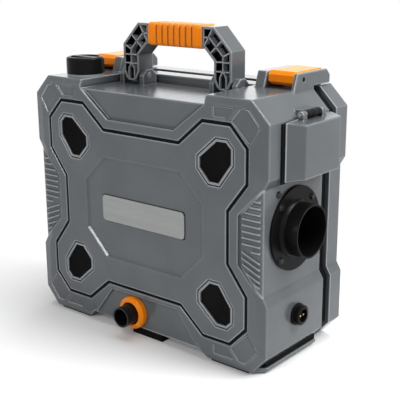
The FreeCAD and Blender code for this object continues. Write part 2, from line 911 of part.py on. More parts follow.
def cut_front(shell):
    outside = f"-{SKIN} - overrun"
    bay_face = [
        ("-bay_foot_half_w", "bay_foot_z"),
        ("bay_foot_half_w", "bay_foot_z"),
        ("bay_half_w", "bay_floor_z + overrun"),
        ("-bay_half_w", "bay_floor_z + overrun"),
    ]
    exhaust_bay = [
        ("-exhaust_bay_foot_half_w", "arch_z - overrun"),
        ("exhaust_bay_foot_half_w", "arch_z - overrun"),
        ("exhaust_bay_half_w", "exhaust_bay_z"),
        ("-exhaust_bay_half_w", "exhaust_bay_z"),
    ]
    cuts = [
        ([bay_face], "bay_face_d"),
        ([exhaust_bay], "exhaust_bay_d"),
        ([inset(panel_outline(), "-seal_w")], "panel_t"),
        (rib_zones(), "bevel_d"),
        (corner_pads(), "pad_d"),
        (all_vents("vent_rim"), "front_wall + overrun"),
    ]
    for outlines, depth in cuts:
        extrude(shell, "XZ_Plane", outside, f"-{SKIN} + {depth}", outlines, cut=True)
    extrude(shell, "XZ_Plane", f"-({bevel_y})", f"-({bevel_y}) - rib_h", rib_bars())
    slots = [slot_outline("slot_t"), mirrored(slot_outline("slot_t"))]
    extrude(shell, "XZ_Plane", "slot_front", "shell_rear", slots, cut=True)


def cut_openings(shell):
    right_out, right_in = "case_half_w + overrun", f"{side_inner} - overrun"
    right_holes = [("duct_y", "duct_z", "duct_r + fit_gap"), ("socket_y", "socket_z", "socket_r + fit_gap")]
    right_holes += [(y, z, "screw_r") for y, z in flange_screws]
    right_holes += [("side_screw_y", "side_screw_z", "screw_r")]
    extrude(shell, "YZ_Plane", right_out, right_in, circles=right_holes, cut=True)
    left_holes = [("duct_y", "duct_z", "inlet_r"), ("side_screw_y", "side_screw_z", "screw_r")]
    extrude(shell, "YZ_Plane", f"-({right_out})", f"-({right_in})", circles=left_holes, cut=True)
    window = rectangle("bezel_front", "bezel_rear", "bezel_low_z", "bezel_high_z")
    extrude(shell, "YZ_Plane", right_out, right_in, [window], cut=True)
    filler = [("filler_x", "filler_y", "filler_r + fit_gap")]
    extrude(shell, "XY_Plane", "case_top + overrun", "cavity_high_z", circles=filler, cut=True)
    intake = [("intake_x", "duct_y", "intake_r + fit_gap")]
    extrude(shell, "XY_Plane", "arch_z - overrun", "cavity_low_z + overrun", circles=intake, cut=True)
    exhaust = [("exhaust_x", "exhaust_z", "exhaust_r + fit_gap")]
    through = f"-{SKIN} + front_wall + overrun"
    extrude(shell, "XZ_Plane", f"-{SKIN} - overrun", through, circles=exhaust, cut=True)


# Front panel, its seal, vents and nameplate
def make_panel():
    panel = new_body("front_panel")
    extrude(panel, "XZ_Plane", panel_floor, shell_front, [panel_outline()])
    recess = [(shell_front, octagon_outline("0")), (octagon_floor, octagon_outline("octagon_bevel"))]
    loft(panel, "XZ_Plane", recess, cut=True)
    extrude(panel, "XZ_Plane", f"-{SKIN} - overrun", f"-{SKIN} + vent_d", all_vents("0"), cut=True)
    through = f"-{SKIN} + panel_t + overrun"
    extrude(panel, "XZ_Plane", f"-{SKIN} - overrun", through, all_vents("vent_rim"), cut=True)
    publish("front_panel", panel)
    seal = new_body("panel_seal")
    ring = [inset(panel_outline(), "-seal_w"), panel_outline()]
    extrude(seal, "XZ_Plane", panel_floor, f"-{SKIN} + pad_d", ring)
    publish("panel_seal", seal)
    for level, level_name in ((1, "upper"), (-1, "lower")):
        for side, side_name in ((-1, "left"), (1, "right")):
            outline = vent_outline(side, level)
            rim = inset(outline, "vent_rim")
            frame = new_body(f"vent_frame_{level_name}_{side_name}")
            extrude(frame, "XZ_Plane", f"-{SKIN} + vent_d", shell_front, [inset(outline, "vent_gap"), rim])
            publish(frame.Name, frame)
            screen = new_body(f"vent_screen_{level_name}_{side_name}")
            extrude(screen, "XZ_Plane", f"-{SKIN} + vent_d", f"-{SKIN} + vent_d - screen_t", [rim])
            publish(screen.Name, screen)
    plate = new_body("nameplate")
    face = rectangle("-plate_half_w", "plate_half_w", f"{MID} - plate_half_h", f"{MID} + plate_half_h")
    step = extrude(plate, "XZ_Plane", octagon_floor, f"{octagon_floor} - plate_t", [face])
    corners = [f"Edge{number}" for number, edge in enumerate(step.Shape.Edges, 1)
               if edge.BoundBox.YLength > edge.BoundBox.XLength + edge.BoundBox.ZLength]
    rounding = plate.newObject("PartDesign::Fillet", "nameplate_corners")
    rounding.Base = (step, corners)
    rounding.setExpression("Radius", cell("plate_corner_r"))
    publish("nameplate", plate)


# Seam band, rubbing strips and feet
def make_trim():
    band = new_body("case_seal")
    ring = [inset(case_outline(), "seam_inset"), cavity_outline("cover_cavity_low_z")]
    extrude(band, "XZ_Plane", "shell_rear", f"{cover_front} - lid_gap", ring)
    publish("case_seal", band)
    strip = new_body("rub_strip")
    low, high, deep_high, deep_low = slot_outline("slot_t")
    profile = [deep_low, low, (high[0], low[1]), high, deep_high]
    extrude(strip, "XZ_Plane", "slot_front", "shell_rear", [profile])
    publish("rub_strips", group("strip_pair", [strip, mirror("rub_strip_left", strip)]))
    feet = []
    for side in (1, -1):
        for level in (1, -1):
            x, y = f"{side} * foot_x", f"foot_mid_y + {level} * foot_y"
            feet.append(box("foot", f"{x} - foot_half_l", f"{x} + foot_half_l",
                            f"{y} - foot_half_d", f"{y} + foot_half_d", "0", "foot_h"))
    feet.append(box("centre_foot", "-centre_foot_half_w", "centre_foot_half_w",
                    "foot_mid_y - foot_y - foot_half_d", "foot_mid_y + foot_y + foot_half_d", "0", "arch_z"))
    publish("base_feet", group("feet", feet))


# Rear half of the case, hinged at its foot
def make_rear_cover():
    cover = new_body("rear_cover")
    extrude(cover, "XZ_Plane", cover_front, bevel_y, [case_outline()])
    loft(cover, "XZ_Plane", [(bevel_y, case_outline()), (SKIN, face_outline())])
    cavity = [cavity_outline("cover_cavity_low_z")]
    extrude(cover, "XZ_Plane", cover_front, f"{SKIN} - wall", cavity, cut=True)
    panel = [inset(panel_outline(), "-seal_w")]
    extrude(cover, "XZ_Plane", f"{SKIN} + overrun", f"{SKIN} - pad_d", panel, cut=True)
    extrude(cover, "XZ_Plane", f"{SKIN} + overrun", f"{SKIN} - rib_h / 2", rib_bars(), cut=True)
    keeper = rectangle(f"{keeper_rear} - keeper_t", keeper_rear, "latch_lug_foot_z", "case_top + keeper_h")
    for low, high in (("latch_in_x", "latch_out_x"), ("-latch_out_x", "-latch_in_x")):
        extrude(cover, "YZ_Plane", low, high, [keeper])
    notch = rectangle("hinge_y - hinge_notch_h - fit_gap", f"{SKIN} + overrun",
                      "0", "hinge_z + hinge_notch_h")
    lug_top = "cover_cavity_low_z - overrun"
    lug = rectangle("hinge_y - hinge_eye_r", "hinge_y + hinge_eye_r", "hinge_z", lug_top)
    eye = [("hinge_y", "hinge_z", "hinge_eye_r")]
    hole = [("hinge_y", "hinge_z", "hinge_pin_r + pin_play")]
    for side in (1, -1):
        reach = "(hinge_half_w + side_play)"
        spans = ((f"{side} * hinge_x - {reach} - hinge_lug_w", f"{side} * hinge_x - {reach}"),
                 (f"{side} * hinge_x + {reach}", f"{side} * hinge_x + {reach} + hinge_lug_w"))
        for start, end in spans:
            extrude(cover, "YZ_Plane", start, end, [lug])
            extrude(cover, "YZ_Plane", start, end, circles=eye)
            extrude(cover, "YZ_Plane", start, end, circles=hole, cut=True)
        low, high = f"{side} * hinge_x - {reach}", f"{side} * hinge_x + {reach}"
        extrude(cover, "YZ_Plane", low, high, [notch], cut=True)
    publish("rear_cover", cover)
    pins = []
    for side in (1, -1):
        span = "(hinge_half_w + side_play + hinge_lug_w)"
        pins.append(rod("hinge_pin", "X", f"{side} * hinge_x - {span}", f"{side} * hinge_x + {span}",
                        "hinge_pin_r", ("hinge_y", "hinge_z")))
    publish("hinge_pins", group("cover_hinge_pins", pins))


# Carry handle with its grip and pins
def handle_outline():
    # Right half of the bow, from the grip end round to the foot
    outer = [
        ("handle_half_w", "handle_foot_z + handle_foot_h"),
        ("handle_half_w", "handle_shoulder_z"),
        (handle_leg_in, "handle_top_z"),
    ]
    bar_z = "handle_top_z - handle_bar_h"
    inner = [
        (f"{handle_leg_in} - handle_inner_corner", bar_z),
        (handle_leg_in, f"{bar_z} - handle_inner_corner"),
        (handle_leg_in, "handle_foot_z + handle_foot_h"),
        (f"{handle_leg_in} + handle_foot_in", "handle_foot_z"),
        ("handle_half_w - handle_foot_in", "handle_foot_z"),
    ]
    return inner + outer


def make_handle():
    frame = new_body("handle_frame")
    right = handle_outline()
    extrude(frame, "XZ_Plane", "handle_rear", "handle_front", [right + mirrored(right)])
    pocket = [
        ("grip_half_w", "handle_top_z"),
        ("grip_half_w", "handle_top_z - handle_bar_h"),
    ] + right
    pocket = inset(pocket[1:] + pocket[:1], "handle_rim")
    for start, end in (("handle_front", "handle_front + handle_pocket_d"),
                       ("handle_rear", "handle_rear - handle_pocket_d")):
        extrude(frame, "XZ_Plane", start, end, [pocket, mirrored(pocket)], cut=True)
        add_handle_ribs(frame, start, end)
    heel = [
        ("handle_front - overrun", "handle_foot_z - overrun"),
        ("handle_front + handle_foot_cut_y", "handle_foot_z - overrun"),
        ("handle_front + handle_foot_cut_y", "handle_foot_z"),
        ("handle_front", "handle_foot_z + handle_foot_cut_z"),
        ("handle_front - overrun", "handle_foot_z + handle_foot_cut_z"),
    ]
    extrude(frame, "YZ_Plane", "-handle_half_w", "handle_half_w", [heel], cut=True)
    eye = [("handle_pivot_y", "handle_pivot_z", "2 * handle_pin_r")]
    hole = [("handle_pivot_y", "handle_pivot_z", "handle_pin_r + pin_play")]
    for low, high in ((handle_leg_in, "handle_half_w"), ("-handle_half_w", f"-({handle_leg_in})")):
        extrude(frame, "YZ_Plane", low, high, circles=eye)
        extrude(frame, "YZ_Plane", low, high, circles=hole, cut=True)
    publish("handle_frame", frame)
    grip = new_body("handle_grip")
    bar = rectangle("handle_front", "handle_rear", "handle_top_z - handle_bar_h", "handle_top_z")
    extrude(grip, "YZ_Plane", "-grip_half_w", "grip_half_w", [inset(bar, "-grip_t"), bar])
    for index in range(GRIP_GROOVES):
        centre = f"{index - (GRIP_GROOVES - 1) / 2} * grip_groove_pitch"
        deep = inset(bar, "grip_groove_d - grip_t")
        extrude(grip, "YZ_Plane", f"{centre} - grip_groove_w / 2", f"{centre} + grip_groove_w / 2",
                [inset(bar, "-grip_t - overrun"), deep], cut=True)
    publish("handle_grip", grip)
    low, high = handle_lugs[0][0], handle_lugs[1][1]
    right_pin = rod("handle_pin", "X", low, high, "handle_pin_r", ("handle_pivot_y", "handle_pivot_z"))
    publish("handle_pins", group("handle_pin_pair", [right_pin, mirror("handle_pin_left", right_pin)]))


def add_handle_ribs(frame, start, end):
    # Thin ribs across each leg and its corner, as deep as the pockets
    inner, outer = f"{handle_leg_in} + handle_rim / 2", "handle_half_w - handle_rim / 2"
    foot, top = "(handle_foot_z + handle_foot_h)", "handle_shoulder_z"
    for share in HANDLE_RIB_SHARES:
        level = f"{foot} + {share} * ({top} - {foot})"
        rib = rectangle(inner, outer, f"{level} - handle_rib_half_t", f"{level} + handle_rib_half_t")
        extrude(frame, "XZ_Plane", start, end, [rib, mirrored(rib)])


# Latches at the top of the case
def make_latches():
    lever = new_body("latch_lever_right")
    claw = "latch_rear - latch_claw_t"
    outline = [
        ("latch_front", "latch_boss_z + latch_chamfer"),
        ("latch_pivot_y - latch_boss_half_w", "latch_boss_z"),
        ("latch_pivot_y + latch_boss_half_w", "latch_boss_z"),
        ("latch_pivot_y + 2 * latch_boss_half_w", "latch_web_z"),
        (claw, "latch_web_z"),
        (claw, "latch_claw_z"),
        ("latch_rear", "latch_claw_z"),
        ("latch_rear", "latch_top_z - latch_chamfer"),
        ("latch_rear - latch_chamfer", "latch_top_z"),
        ("latch_front + latch_chamfer", "latch_top_z"),
        ("latch_front", "latch_top_z - latch_chamfer"),
    ]
    extrude(lever, "YZ_Plane", "latch_in_x", "latch_out_x", [outline])
    hole = [("latch_pivot_y", "latch_pivot_z", "latch_pin_r + pin_play")]
    extrude(lever, "YZ_Plane", "latch_in_x", "latch_out_x", circles=hole, cut=True)
    publish("latch_lever_right", lever)
    publish("latch_lever_left", mirror("latch_left", lever))
    low, high = latch_lugs[0][0], latch_lugs[1][1]
    pin = rod("latch_pin", "X", low, high, "latch_pin_r", ("latch_pivot_y", "latch_pivot_z"))
    publish("latch_pins", group("latch_pin_pair", [pin, mirror("latch_pin_left", pin)]))


# Fuel filler, cap, tank and lines
def make_fuel_side():
    neck = new_body("filler_neck")
    seat = "case_top"
    turn(neck, "Z", [
        ("filler_low_z", "filler_bore_r"),
        ("filler_low_z", "filler_r"),
        (seat, "filler_r"),
        (seat, "filler_flange_r"),
        (f"{seat} + filler_flange_t", "filler_flange_r"),
        (f"{seat} + filler_flange_t", "filler_r"),
        (neck_top_z, "filler_r"),
        (neck_top_z, "filler_bore_r"),
    ])
    publish("filler_neck", place(neck, "filler_x", "filler_y"))
    gasket = new_body("cap_gasket")
    gasket_low = f"{neck_top_z} + fit_gap"
    turn(gasket, "Z", [
        (gasket_low, "0"),
        (gasket_low, "filler_r"),
        (f"{gasket_low} + gasket_t", "filler_r"),
        (f"{gasket_low} + gasket_t", "0"),
    ])
    publish("cap_gasket", place(gasket, "filler_x", "filler_y"))
    cap = new_body("fuel_cap")
    inner_top = f"{gasket_low} + gasket_t + fit_gap"
    top = f"{cap_low_z} + cap_h + cap_dish_d"
    skirt = "cap_r - cap_wall"
    turn(cap, "Z", [
        (cap_low_z, skirt),
        (cap_low_z, "cap_r"),
        (f"{top} - cap_wall / 2", "cap_r"),
        (top, "cap_r - cap_wall / 2"),
        (top, "cap_dish_r"),
        (f"{top} - cap_dish_d / 2", "cap_dish_r"),
        (f"{top} - cap_dish_d / 2", "0"),
        (inner_top, "0"),
        (inner_top, skirt),
    ])
    bar = rectangle("-cap_dish_r", "cap_dish_r", "-cap_bar_half_w", "cap_bar_half_w")
    extrude(cap, "XY_Plane", f"{top} - cap_dish_d / 2", top, [bar])
    publish("fuel_cap", place(cap, "filler_x", "filler_y"))
    tank_front, tank_top = f"-{SKIN} + front_wall + fit_gap", "cavity_high_z - fit_gap"
    outer = box("tank_outer", "tank_left", "tank_right", tank_front, "tank_rear", "tank_low_z", tank_top)
    inner = box("tank_inner", "tank_left + tank_wall", "tank_right - tank_wall", f"{tank_front} + tank_wall",
                "tank_rear - tank_wall", "tank_low_z + tank_wall", f"{tank_top} - tank_wall")
    mouth = rod("tank_mouth", "Z", f"{tank_top} - tank_wall - overrun", f"{tank_top} + overrun",
                "filler_r + fit_gap", ("filler_x", "filler_y"))
    publish("fuel_tank", subtract("tank", outer, inner, mouth))
    pump = new_body("fuel_pump")
    turn(pump, "X", [
        ("-pump_half_l", "0"),
        ("-pump_half_l", "pump_nose_r"),
        ("-pump_half_l + pump_nose_l", "pump_nose_r"),
        ("-pump_half_l + pump_nose_l", "pump_r"),
        ("pump_half_l - pump_nose_l", "pump_r"),
        ("pump_half_l - pump_nose_l", "pump_nose_r"),
        ("pump_half_l", "pump_nose_r"),
        ("pump_half_l", "0"),
    ])
    publish("fuel_pump", place(pump, "pump_x", "pump_y", "pump_z"))
    clamp = new_body("pump_clamp")
    start, end = "pump_x - clamp_half_w", "pump_x + clamp_half_w"
    extrude(clamp, "YZ_Plane", start, end, circles=[("pump_y", "pump_z", "pump_r + clamp_t")])
    foot = rectangle("pump_y - clamp_foot_half_w", "pump_y + clamp_foot_half_w", "cavity_low_z", "pump_z")
    extrude(clamp, "YZ_Plane", start, end, [foot])
    extrude(clamp, "YZ_Plane", start, end, circles=[("pump_y", "pump_z", "pump_r + pin_play")], cut=True)
    publish("pump_clamp", clamp)
    left_end, right_end = "pump_x - pump_half_l", "pump_x + pump_half_l"
    drop_x = f"{left_end} - line_bend_r - line_r"
    supply = hose("supply_line", [(drop_x, "pump_y", "tank_low_z"), (drop_x, "pump_y", "pump_z"),
                                  (left_end, "pump_y", "pump_z")], "line_r", "line_bend_r")
    feed = hose("feed_line", [(right_end, "pump_y", "pump_z"), ("line_out_x", "pump_y", "pump_z"),
                              ("line_out_x", "pump_y", "line_top_z")], "line_r", "line_bend_r")
    publish("fuel_lines", group("line_pair", [supply, feed]))


# Hot air outlet, exhaust, intake and power socket
def make_ports():
    spigot = new_body("outlet_spigot")
    bore = "duct_r - duct_wall"
    seat = "waist_half_w"
    turn(spigot, "X", [
        ("duct_start", bore),
        ("duct_start", "duct_r"),
        (seat, "duct_r"),
        (seat, "flange_r"),
        (f"{seat} + flange_t", "flange_r"),
        (f"{seat} + flange_t", "hub_r"),
        (f"{seat} + flange_t + hub_t", "duct_r + duct_wall"),
        (f"{seat} + flange_t + hub_t + hub_slope", "duct_r"),
        ("duct_end", "duct_r"),
        ("duct_end", bore),
    ])
    holes = [(y, z, "screw_r") for y, z in around(FLANGE_SCREWS, "flange_screw_pcd_r")]
    extrude(spigot, "YZ_Plane", f"{seat} - overrun", f"{seat} + flange_t + overrun", circles=holes, cut=True)
    publish("outlet_spigot", place(spigot, "0", "duct_y", "duct_z"))
    face = f"{seat} + flange_t"
    screws = [make_screw("flange_screw", face, y, z) for y, z in flange_screws]
    publish("spigot_screws", group("flange_screw_set", screws))
    side_screw = make_screw("side_screw", seat, "side_screw_y", "side_screw_z")
    publish("side_screws", group("side_screw_pair", [side_screw, mirror("side_screw_left", side_screw)]))
    collar = new_body("exhaust_collar")
    back = f"-{SKIN} + exhaust_bay_d"
    front = f"{back} - collar_t"
    turn(collar, "Y", [
        (back, "collar_bore_r"),
        (back, "collar_r"),
        (f"{front} + collar_round", "collar_r"),
        (front, "collar_r - collar_round"),
        (front, "collar_bore_r"),
    ])
    publish("exhaust_collar", place(collar, "exhaust_x", "0", "exhaust_z"))
    route = [("exhaust_x", "exhaust_end", "exhaust_z"), ("exhaust_x", "duct_y", "exhaust_z"),
             ("exhaust_x", "duct_y", "exhaust_top_z")]
    tube = hose("exhaust_tube", route, "exhaust_tube_r", "exhaust_bend_r", "exhaust_bore_r")
    at = ("exhaust_x", "exhaust_z")
    stub_end = "exhaust_end + exhaust_stub_l"
    sleeve = subtract(
        "exhaust_sleeve",
        rod("stub_outer", "Y", "exhaust_end", stub_end, "exhaust_r", at),
        rod("stub_bore", "Y", "exhaust_end", stub_end, "exhaust_bore_r", at),
    )
    publish("exhaust_pipe", join("exhaust", tube, sleeve))
    top = "duct_z - shroud_r - fit_gap"
    tube = rod("intake_tube", "Z", "arch_z", top, "intake_r", ("intake_x", "duct_y"))
    at = ("intake_x", "duct_y")
    hollow = rod("intake_bore", "Z", "arch_z - overrun", f"{top} + overrun", "intake_bore_r", at)
    publish("air_intake_pipe", subtract("intake", tube, hollow))
    socket = new_body("power_socket")
    seat = "case_half_w"
    turn(socket, "X", [
        ("socket_start", "0"),
        ("socket_start", "socket_r"),
        (seat, "socket_r"),
        (seat, "socket_flange_r"),
        (f"{seat} + socket_flange_t", "socket_flange_r"),
        ("socket_end", "socket_r + fit_gap"),
        ("socket_end", "socket_bore_r"),
        ("socket_end - socket_bore_d", "socket_bore_r"),
        ("socket_end - socket_bore_d", "0"),
    ])
    publish("power_socket", place(socket, "0", "socket_y", "socket_z"))
    pins = [rod("socket_pin", "X", "socket_end - socket_bore_d", "socket_end - socket_bore_d + socket_pin_x",
                "socket_pin_r", (f"socket_y + {side} * socket_pin_gap", "socket_z")) for side in (1, -1)]
    publish("socket_pins", group("socket_pin_pair", pins))
    grille = new_body("intake_grille")
    outer = "-waist_half_w - grille_t"
    extrude(grille, "YZ_Plane", outer, "-waist_half_w", circles=[("duct_y", "duct_z", "grille_r")])
    slots = []
    for index in range(GRILLE_SLOTS):
        level = f"({index - (GRILLE_SLOTS - 1) / 2} * grille_slot_pitch)"
        half = f"sqrt(inlet_r^2 - (abs({level}) + grille_slot_half_h)^2)"
        centre = f"duct_z + {level}"
        slots.append(rectangle(f"duct_y - {half}", f"duct_y + {half}",
                               f"{centre} - grille_slot_half_h", f"{centre} + grille_slot_half_h"))
    extrude(grille, "YZ_Plane", f"{outer} - overrun", "-waist_half_w + overrun", slots, cut=True)
    publish("intake_grille", grille)


def make_screw(name, seat, y, z):
    screw = new_body(name)
    turn(screw, "X", [
        ("-screw_l", "0"),
        ("-screw_l", "screw_r"),
        ("0", "screw_r"),
        ("0", "screw_head_r"),
        ("screw_head_t", "screw_head_r - screw_r / 2"),
        ("screw_head_t", "0"),
    ])
    return place(screw, seat, y, z)


# Flap over the controls, and the controls
def make_controls():
    seal = new_body("cover_seal")
    outer = rectangle("flap_front", "flap_rear", "flap_low_z", "top_corner_z - fit_gap")
    inner = rectangle("bezel_front", "bezel_rear", "bezel_low_z", "bezel_high_z")
    extrude(seal, "YZ_Plane", "case_half_w", "flap_base_x - fit_gap", [inset(outer, "gasket_w / 2"), inner])
    publish("cover_seal", seal)
    flap = new_body("side_cover")
    base = rectangle("flap_front", "flap_rear", "flap_low_z", "flap_high_z")
    face = rectangle("flap_front + flap_face_front_in", "flap_rear - flap_face_rear_in",
                     "flap_low_z + flap_face_in_z", "flap_high_z - flap_face_in_z")
    loft(flap, "YZ_Plane", [("flap_base_x", base), ("flap_face_x", face)])
    hollow = rectangle("flap_front + flap_face_front_in + flap_wall",
                       "flap_rear - flap_face_rear_in - flap_wall",
                       "flap_low_z + flap_face_in_z + flap_wall",
                       "flap_high_z - flap_face_in_z - flap_wall")
    extrude(flap, "YZ_Plane", "flap_base_x", "flap_face_x - flap_wall", [hollow], cut=True)
    middle = "(flap_front + flap_rear) / 2"
    inner_end = "(flap_knuckle_half_w + side_play)"
    arm = [
        ("flap_hinge_x - flap_eye_r", "flap_hinge_z"),
        ("flap_hinge_x - flap_eye_r + side_play", "flap_high_z - flap_face_in_z"),
        ("flap_hinge_x + flap_eye_r", "flap_high_z - flap_face_in_z"),
        ("flap_hinge_x + flap_eye_r", "flap_hinge_z"),
    ]
    eye = [("flap_hinge_x", "flap_hinge_z", "flap_eye_r")]
    hole = [("flap_hinge_x", "flap_hinge_z", "flap_pin_r + pin_play")]
    for start, end in ((f"{middle} - {inner_end} - flap_knuckle_w", f"{middle} - {inner_end}"),
                       (f"{middle} + {inner_end}", f"{middle} + {inner_end} + flap_knuckle_w")):
        extrude(flap, "XZ_Plane", start, end, [arm])
        extrude(flap, "XZ_Plane", start, end, circles=eye)
        extrude(flap, "XZ_Plane", start, end, circles=hole, cut=True)
    publish("side_cover", flap)
    reach = "(flap_knuckle_half_w + side_play + flap_knuckle_w)"
    axis = ("flap_hinge_x", "flap_hinge_z")
    pin = rod("flap_pin", "Y", f"{middle} - {reach}", f"{middle} + {reach}", "flap_pin_r", axis)
    publish("cover_hinge_pin", pin)
    make_key_panel(inner)


def make_key_panel(opening):
    bezel = new_body("control_bezel")
    face, back = "case_half_w", "case_half_w - bezel_t"
    extrude(bezel, "YZ_Plane", back, face, [opening])
    window = rectangle("window_front", "window_rear", "window_low_z", "window_high_z")
    extrude(bezel, "YZ_Plane", f"{face} + overrun", f"{face} - window_t", [window], cut=True)
    holes = [(y, z, "key_r + key_gap") for y, z in key_places]
    extrude(bezel, "YZ_Plane", f"{face} + overrun", f"{back} - overrun", circles=holes, cut=True)
    posts = []
    for y_low, y_high in (("bezel_front", "bezel_front + standoff"), ("bezel_rear - standoff", "bezel_rear")):
        levels = (("bezel_low_z", "bezel_low_z + standoff"), ("bezel_high_z - standoff", "bezel_high_z"))
        for z_low, z_high in levels:
            posts.append(rectangle(y_low, y_high, z_low, z_high))
    extrude(bezel, "YZ_Plane", back, board_face_x, posts)
    publish("control_bezel", bezel)
    glass = box("display_glass", f"{face} - window_t", face, "window_front", "window_rear",
                "window_low_z", "window_high_z")
    publish("display_window", glass)
    board = box("key_board", f"{board_face_x} - board_t", board_face_x, "bezel_front + board_margin",
                "bezel_rear - board_margin", "bezel_low_z + board_margin", "bezel_high_z - board_margin")
    publish("control_board", board)
    for label, (y, z) in zip(("key_power", "key_up", "key_set", "key_down"), key_places):
        low, high = f"{board_face_x} + key_travel + fit_gap", f"{face} + key_rise"
        key = rod(label + "_rod", "X", low, high, "key_r", (y, z))
        publish(label, key)


# Heater unit on the duct axis
def make_heater():
    end = "duct_start"
    lower_room, upper_room = ("-shroud_r - overrun", "0"), ("0", "shroud_r + overrun")
    for label, other in (("heater_shroud_lower", upper_room), ("heater_shroud_upper", lower_room)):
        half = new_body(label)
        turn(half, "X", [
            ("shroud_start", "shroud_r - shroud_wall"),
            ("shroud_start", "shroud_r"),
            (end, "shroud_r"),
            (end, "duct_r - duct_wall"),
            (f"{end} - shroud_wall", "duct_r - duct_wall"),
            (f"{end} - shroud_wall", "shroud_r - shroud_wall"),
        ])
        room = rectangle("-shroud_r - overrun", "shroud_r + overrun", *other)
        extrude(half, "YZ_Plane", "shroud_start - overrun", f"{end} + overrun", [room], cut=True)
        publish(label, place(half, "0", "duct_y", "duct_z"))
    exchanger = new_body("heat_exchanger")
    turn(exchanger, "X", [
        ("exchanger_start", "exchanger_bore_r"),
        ("exchanger_start", "exchanger_r"),
        ("exchanger_end", "exchanger_r"),
        ("exchanger_end", "0"),
        ("exchanger_end - burner_flange_t", "0"),
        ("exchanger_end - burner_flange_t", "exchanger_bore_r"),
    ])
    root_r, tip_r = "(exchanger_bore_r + exchanger_r) / 2", "(shroud_r - shroud_wall - fit_gap)"
    fins = [blade_outline(unit, root_r, tip_r, "fin_half_t") for unit in around(FIN_COUNT, "1")]
    fin_start, fin_end = "exchanger_start + burner_flange_t", "exchanger_end - burner_flange_t"
    extrude(exchanger, "YZ_Plane", fin_start, fin_end, fins)
    publish("heat_exchanger", place(exchanger, "0", "duct_y", "duct_z"))
    burner = new_body("burner_tube")
    cup_r = "exchanger_r + burner_cup_wall"
    flange = "exchanger_start - burner_flange_t"
    bore = "burner_r - burner_wall"
    turn(burner, "X", [
        ("burner_cup_start", "exchanger_r"),
        ("burner_cup_start", cup_r),
        ("exchanger_start", cup_r),
        ("exchanger_start", "burner_r"),
        ("burner_end", "burner_r"),
        ("burner_end", bore),
        (flange, bore),
        (flange, "exchanger_r"),
    ])
    plug_hole = [("glow_plug_x", "0", "glow_plug_r + pin_play")]
    extrude(burner, "XY_Plane", "0", "burner_r + overrun", circles=plug_hole, cut=True)
    publish("burner_tube", place(burner, "0", "duct_y", "duct_z"))
    plug_top = "duct_z + exchanger_bore_r - fit_gap"
    plug = rod("plug", "Z", f"{plug_top} - glow_plug_h", plug_top, "glow_plug_r", ("glow_plug_x", "duct_y"))
    publish("glow_plug", plug)
    make_blower()


def make_blower():
    motor = new_body("blower_motor")
    flange_end = "burner_cup_start"
    flange_start = f"{flange_end} - motor_flange_t"
    bore = "shaft_r + pin_play"
    turn(motor, "X", [
        ("motor_start", bore),
        ("motor_start", "motor_r"),
        (flange_start, "motor_r"),
        (flange_start, "shroud_r - shroud_wall - fit_gap"),
        (flange_end, "shroud_r - shroud_wall - fit_gap"),
        (flange_end, bore),
    ])
    windows = [(y, z, "motor_window_r") for y, z in around(MOTOR_WINDOWS, "motor_window_pcd_r")]
    low, high = f"{flange_start} - overrun", f"{flange_end} + overrun"
    extrude(motor, "YZ_Plane", low, high, circles=windows, cut=True)
    publish("blower_motor", place(motor, "0", "duct_y", "duct_z"))
    shaft = rod("rotor_shaft", "X", "shaft_start", "shaft_end", "shaft_r", ("duct_y", "duct_z"))
    publish("motor_shaft", shaft)
    fan_end = "fan_start + fan_t"
    blower_wheel = make_fan("fan_wheel", "fan_start", fan_end, "fan_hub_r", "fan_r")
    publish("fan_wheel", blower_wheel)
    start = "burner_cup_start + side_play"
    end = f"{start} + combustion_fan_t"
    burner_wheel = make_fan("combustion_fan", start, end, "2 * shaft_r", "combustion_fan_r")
    publish("combustion_fan", burner_wheel)


def make_fan(label, start, end, hub_r, tip_r):
    fan = new_body(label)
    extrude(fan, "YZ_Plane", start, end, circles=[("0", "0", hub_r)])
    root_r = f"(shaft_r + {hub_r}) / 2"
    blades = [blade_outline(unit, root_r, tip_r, "fan_blade_half_t") for unit in around(FAN_BLADES, "1", 0)]
    extrude(fan, "YZ_Plane", start, end, blades)
    extrude(fan, "YZ_Plane", start, end, circles=[("0", "0", "shaft_r")], cut=True)
    return place(fan, "0", "duct_y", "duct_z")


# Control unit and wiring
def make_electrics():
    unit = new_body("control_unit")
    plan = rectangle("unit_left", "unit_right", "unit_front", "unit_rear")
    step = extrude(unit, "XY_Plane", "cavity_low_z", "cavity_low_z + unit_h", [plan])
    uprights = [f"Edge{number}" for number, edge in enumerate(step.Shape.Edges, 1)
                if edge.BoundBox.ZLength > edge.BoundBox.XLength + edge.BoundBox.YLength]
    rounding = unit.newObject("PartDesign::Fillet", "unit_corners")
    rounding.Base = (step, uprights)
    rounding.setExpression("Radius", cell("unit_corner"))
    publish("control_unit", unit)
    board_back = f"{board_face_x} - board_t"
    middle_y = "(bezel_front + bezel_rear) / 2"
    main = hose("main_harness", [
        ("harness_x", "unit_rear", "harness_start_z"),
        ("harness_x", "harness_y", "harness_start_z"),
        ("harness_x", "harness_y", "harness_z"),
        ("harness_x", middle_y, "harness_z"),
        (board_back, middle_y, "harness_z"),
    ], "harness_r", "harness_bend_r")
    unit_top = "cavity_low_z + unit_h"
    socket_x = "(harness_x + unit_right) / 2"
    socket_lead = hose("socket_lead", [
        ("socket_start", "socket_y", "socket_z"),
        (socket_x, "socket_y", "socket_z"),
        (socket_x, "socket_y", unit_top),
    ], "line_r", "line_r + fit_gap")
    publish("wire_harness", group("harness_set", [main, socket_lead]))


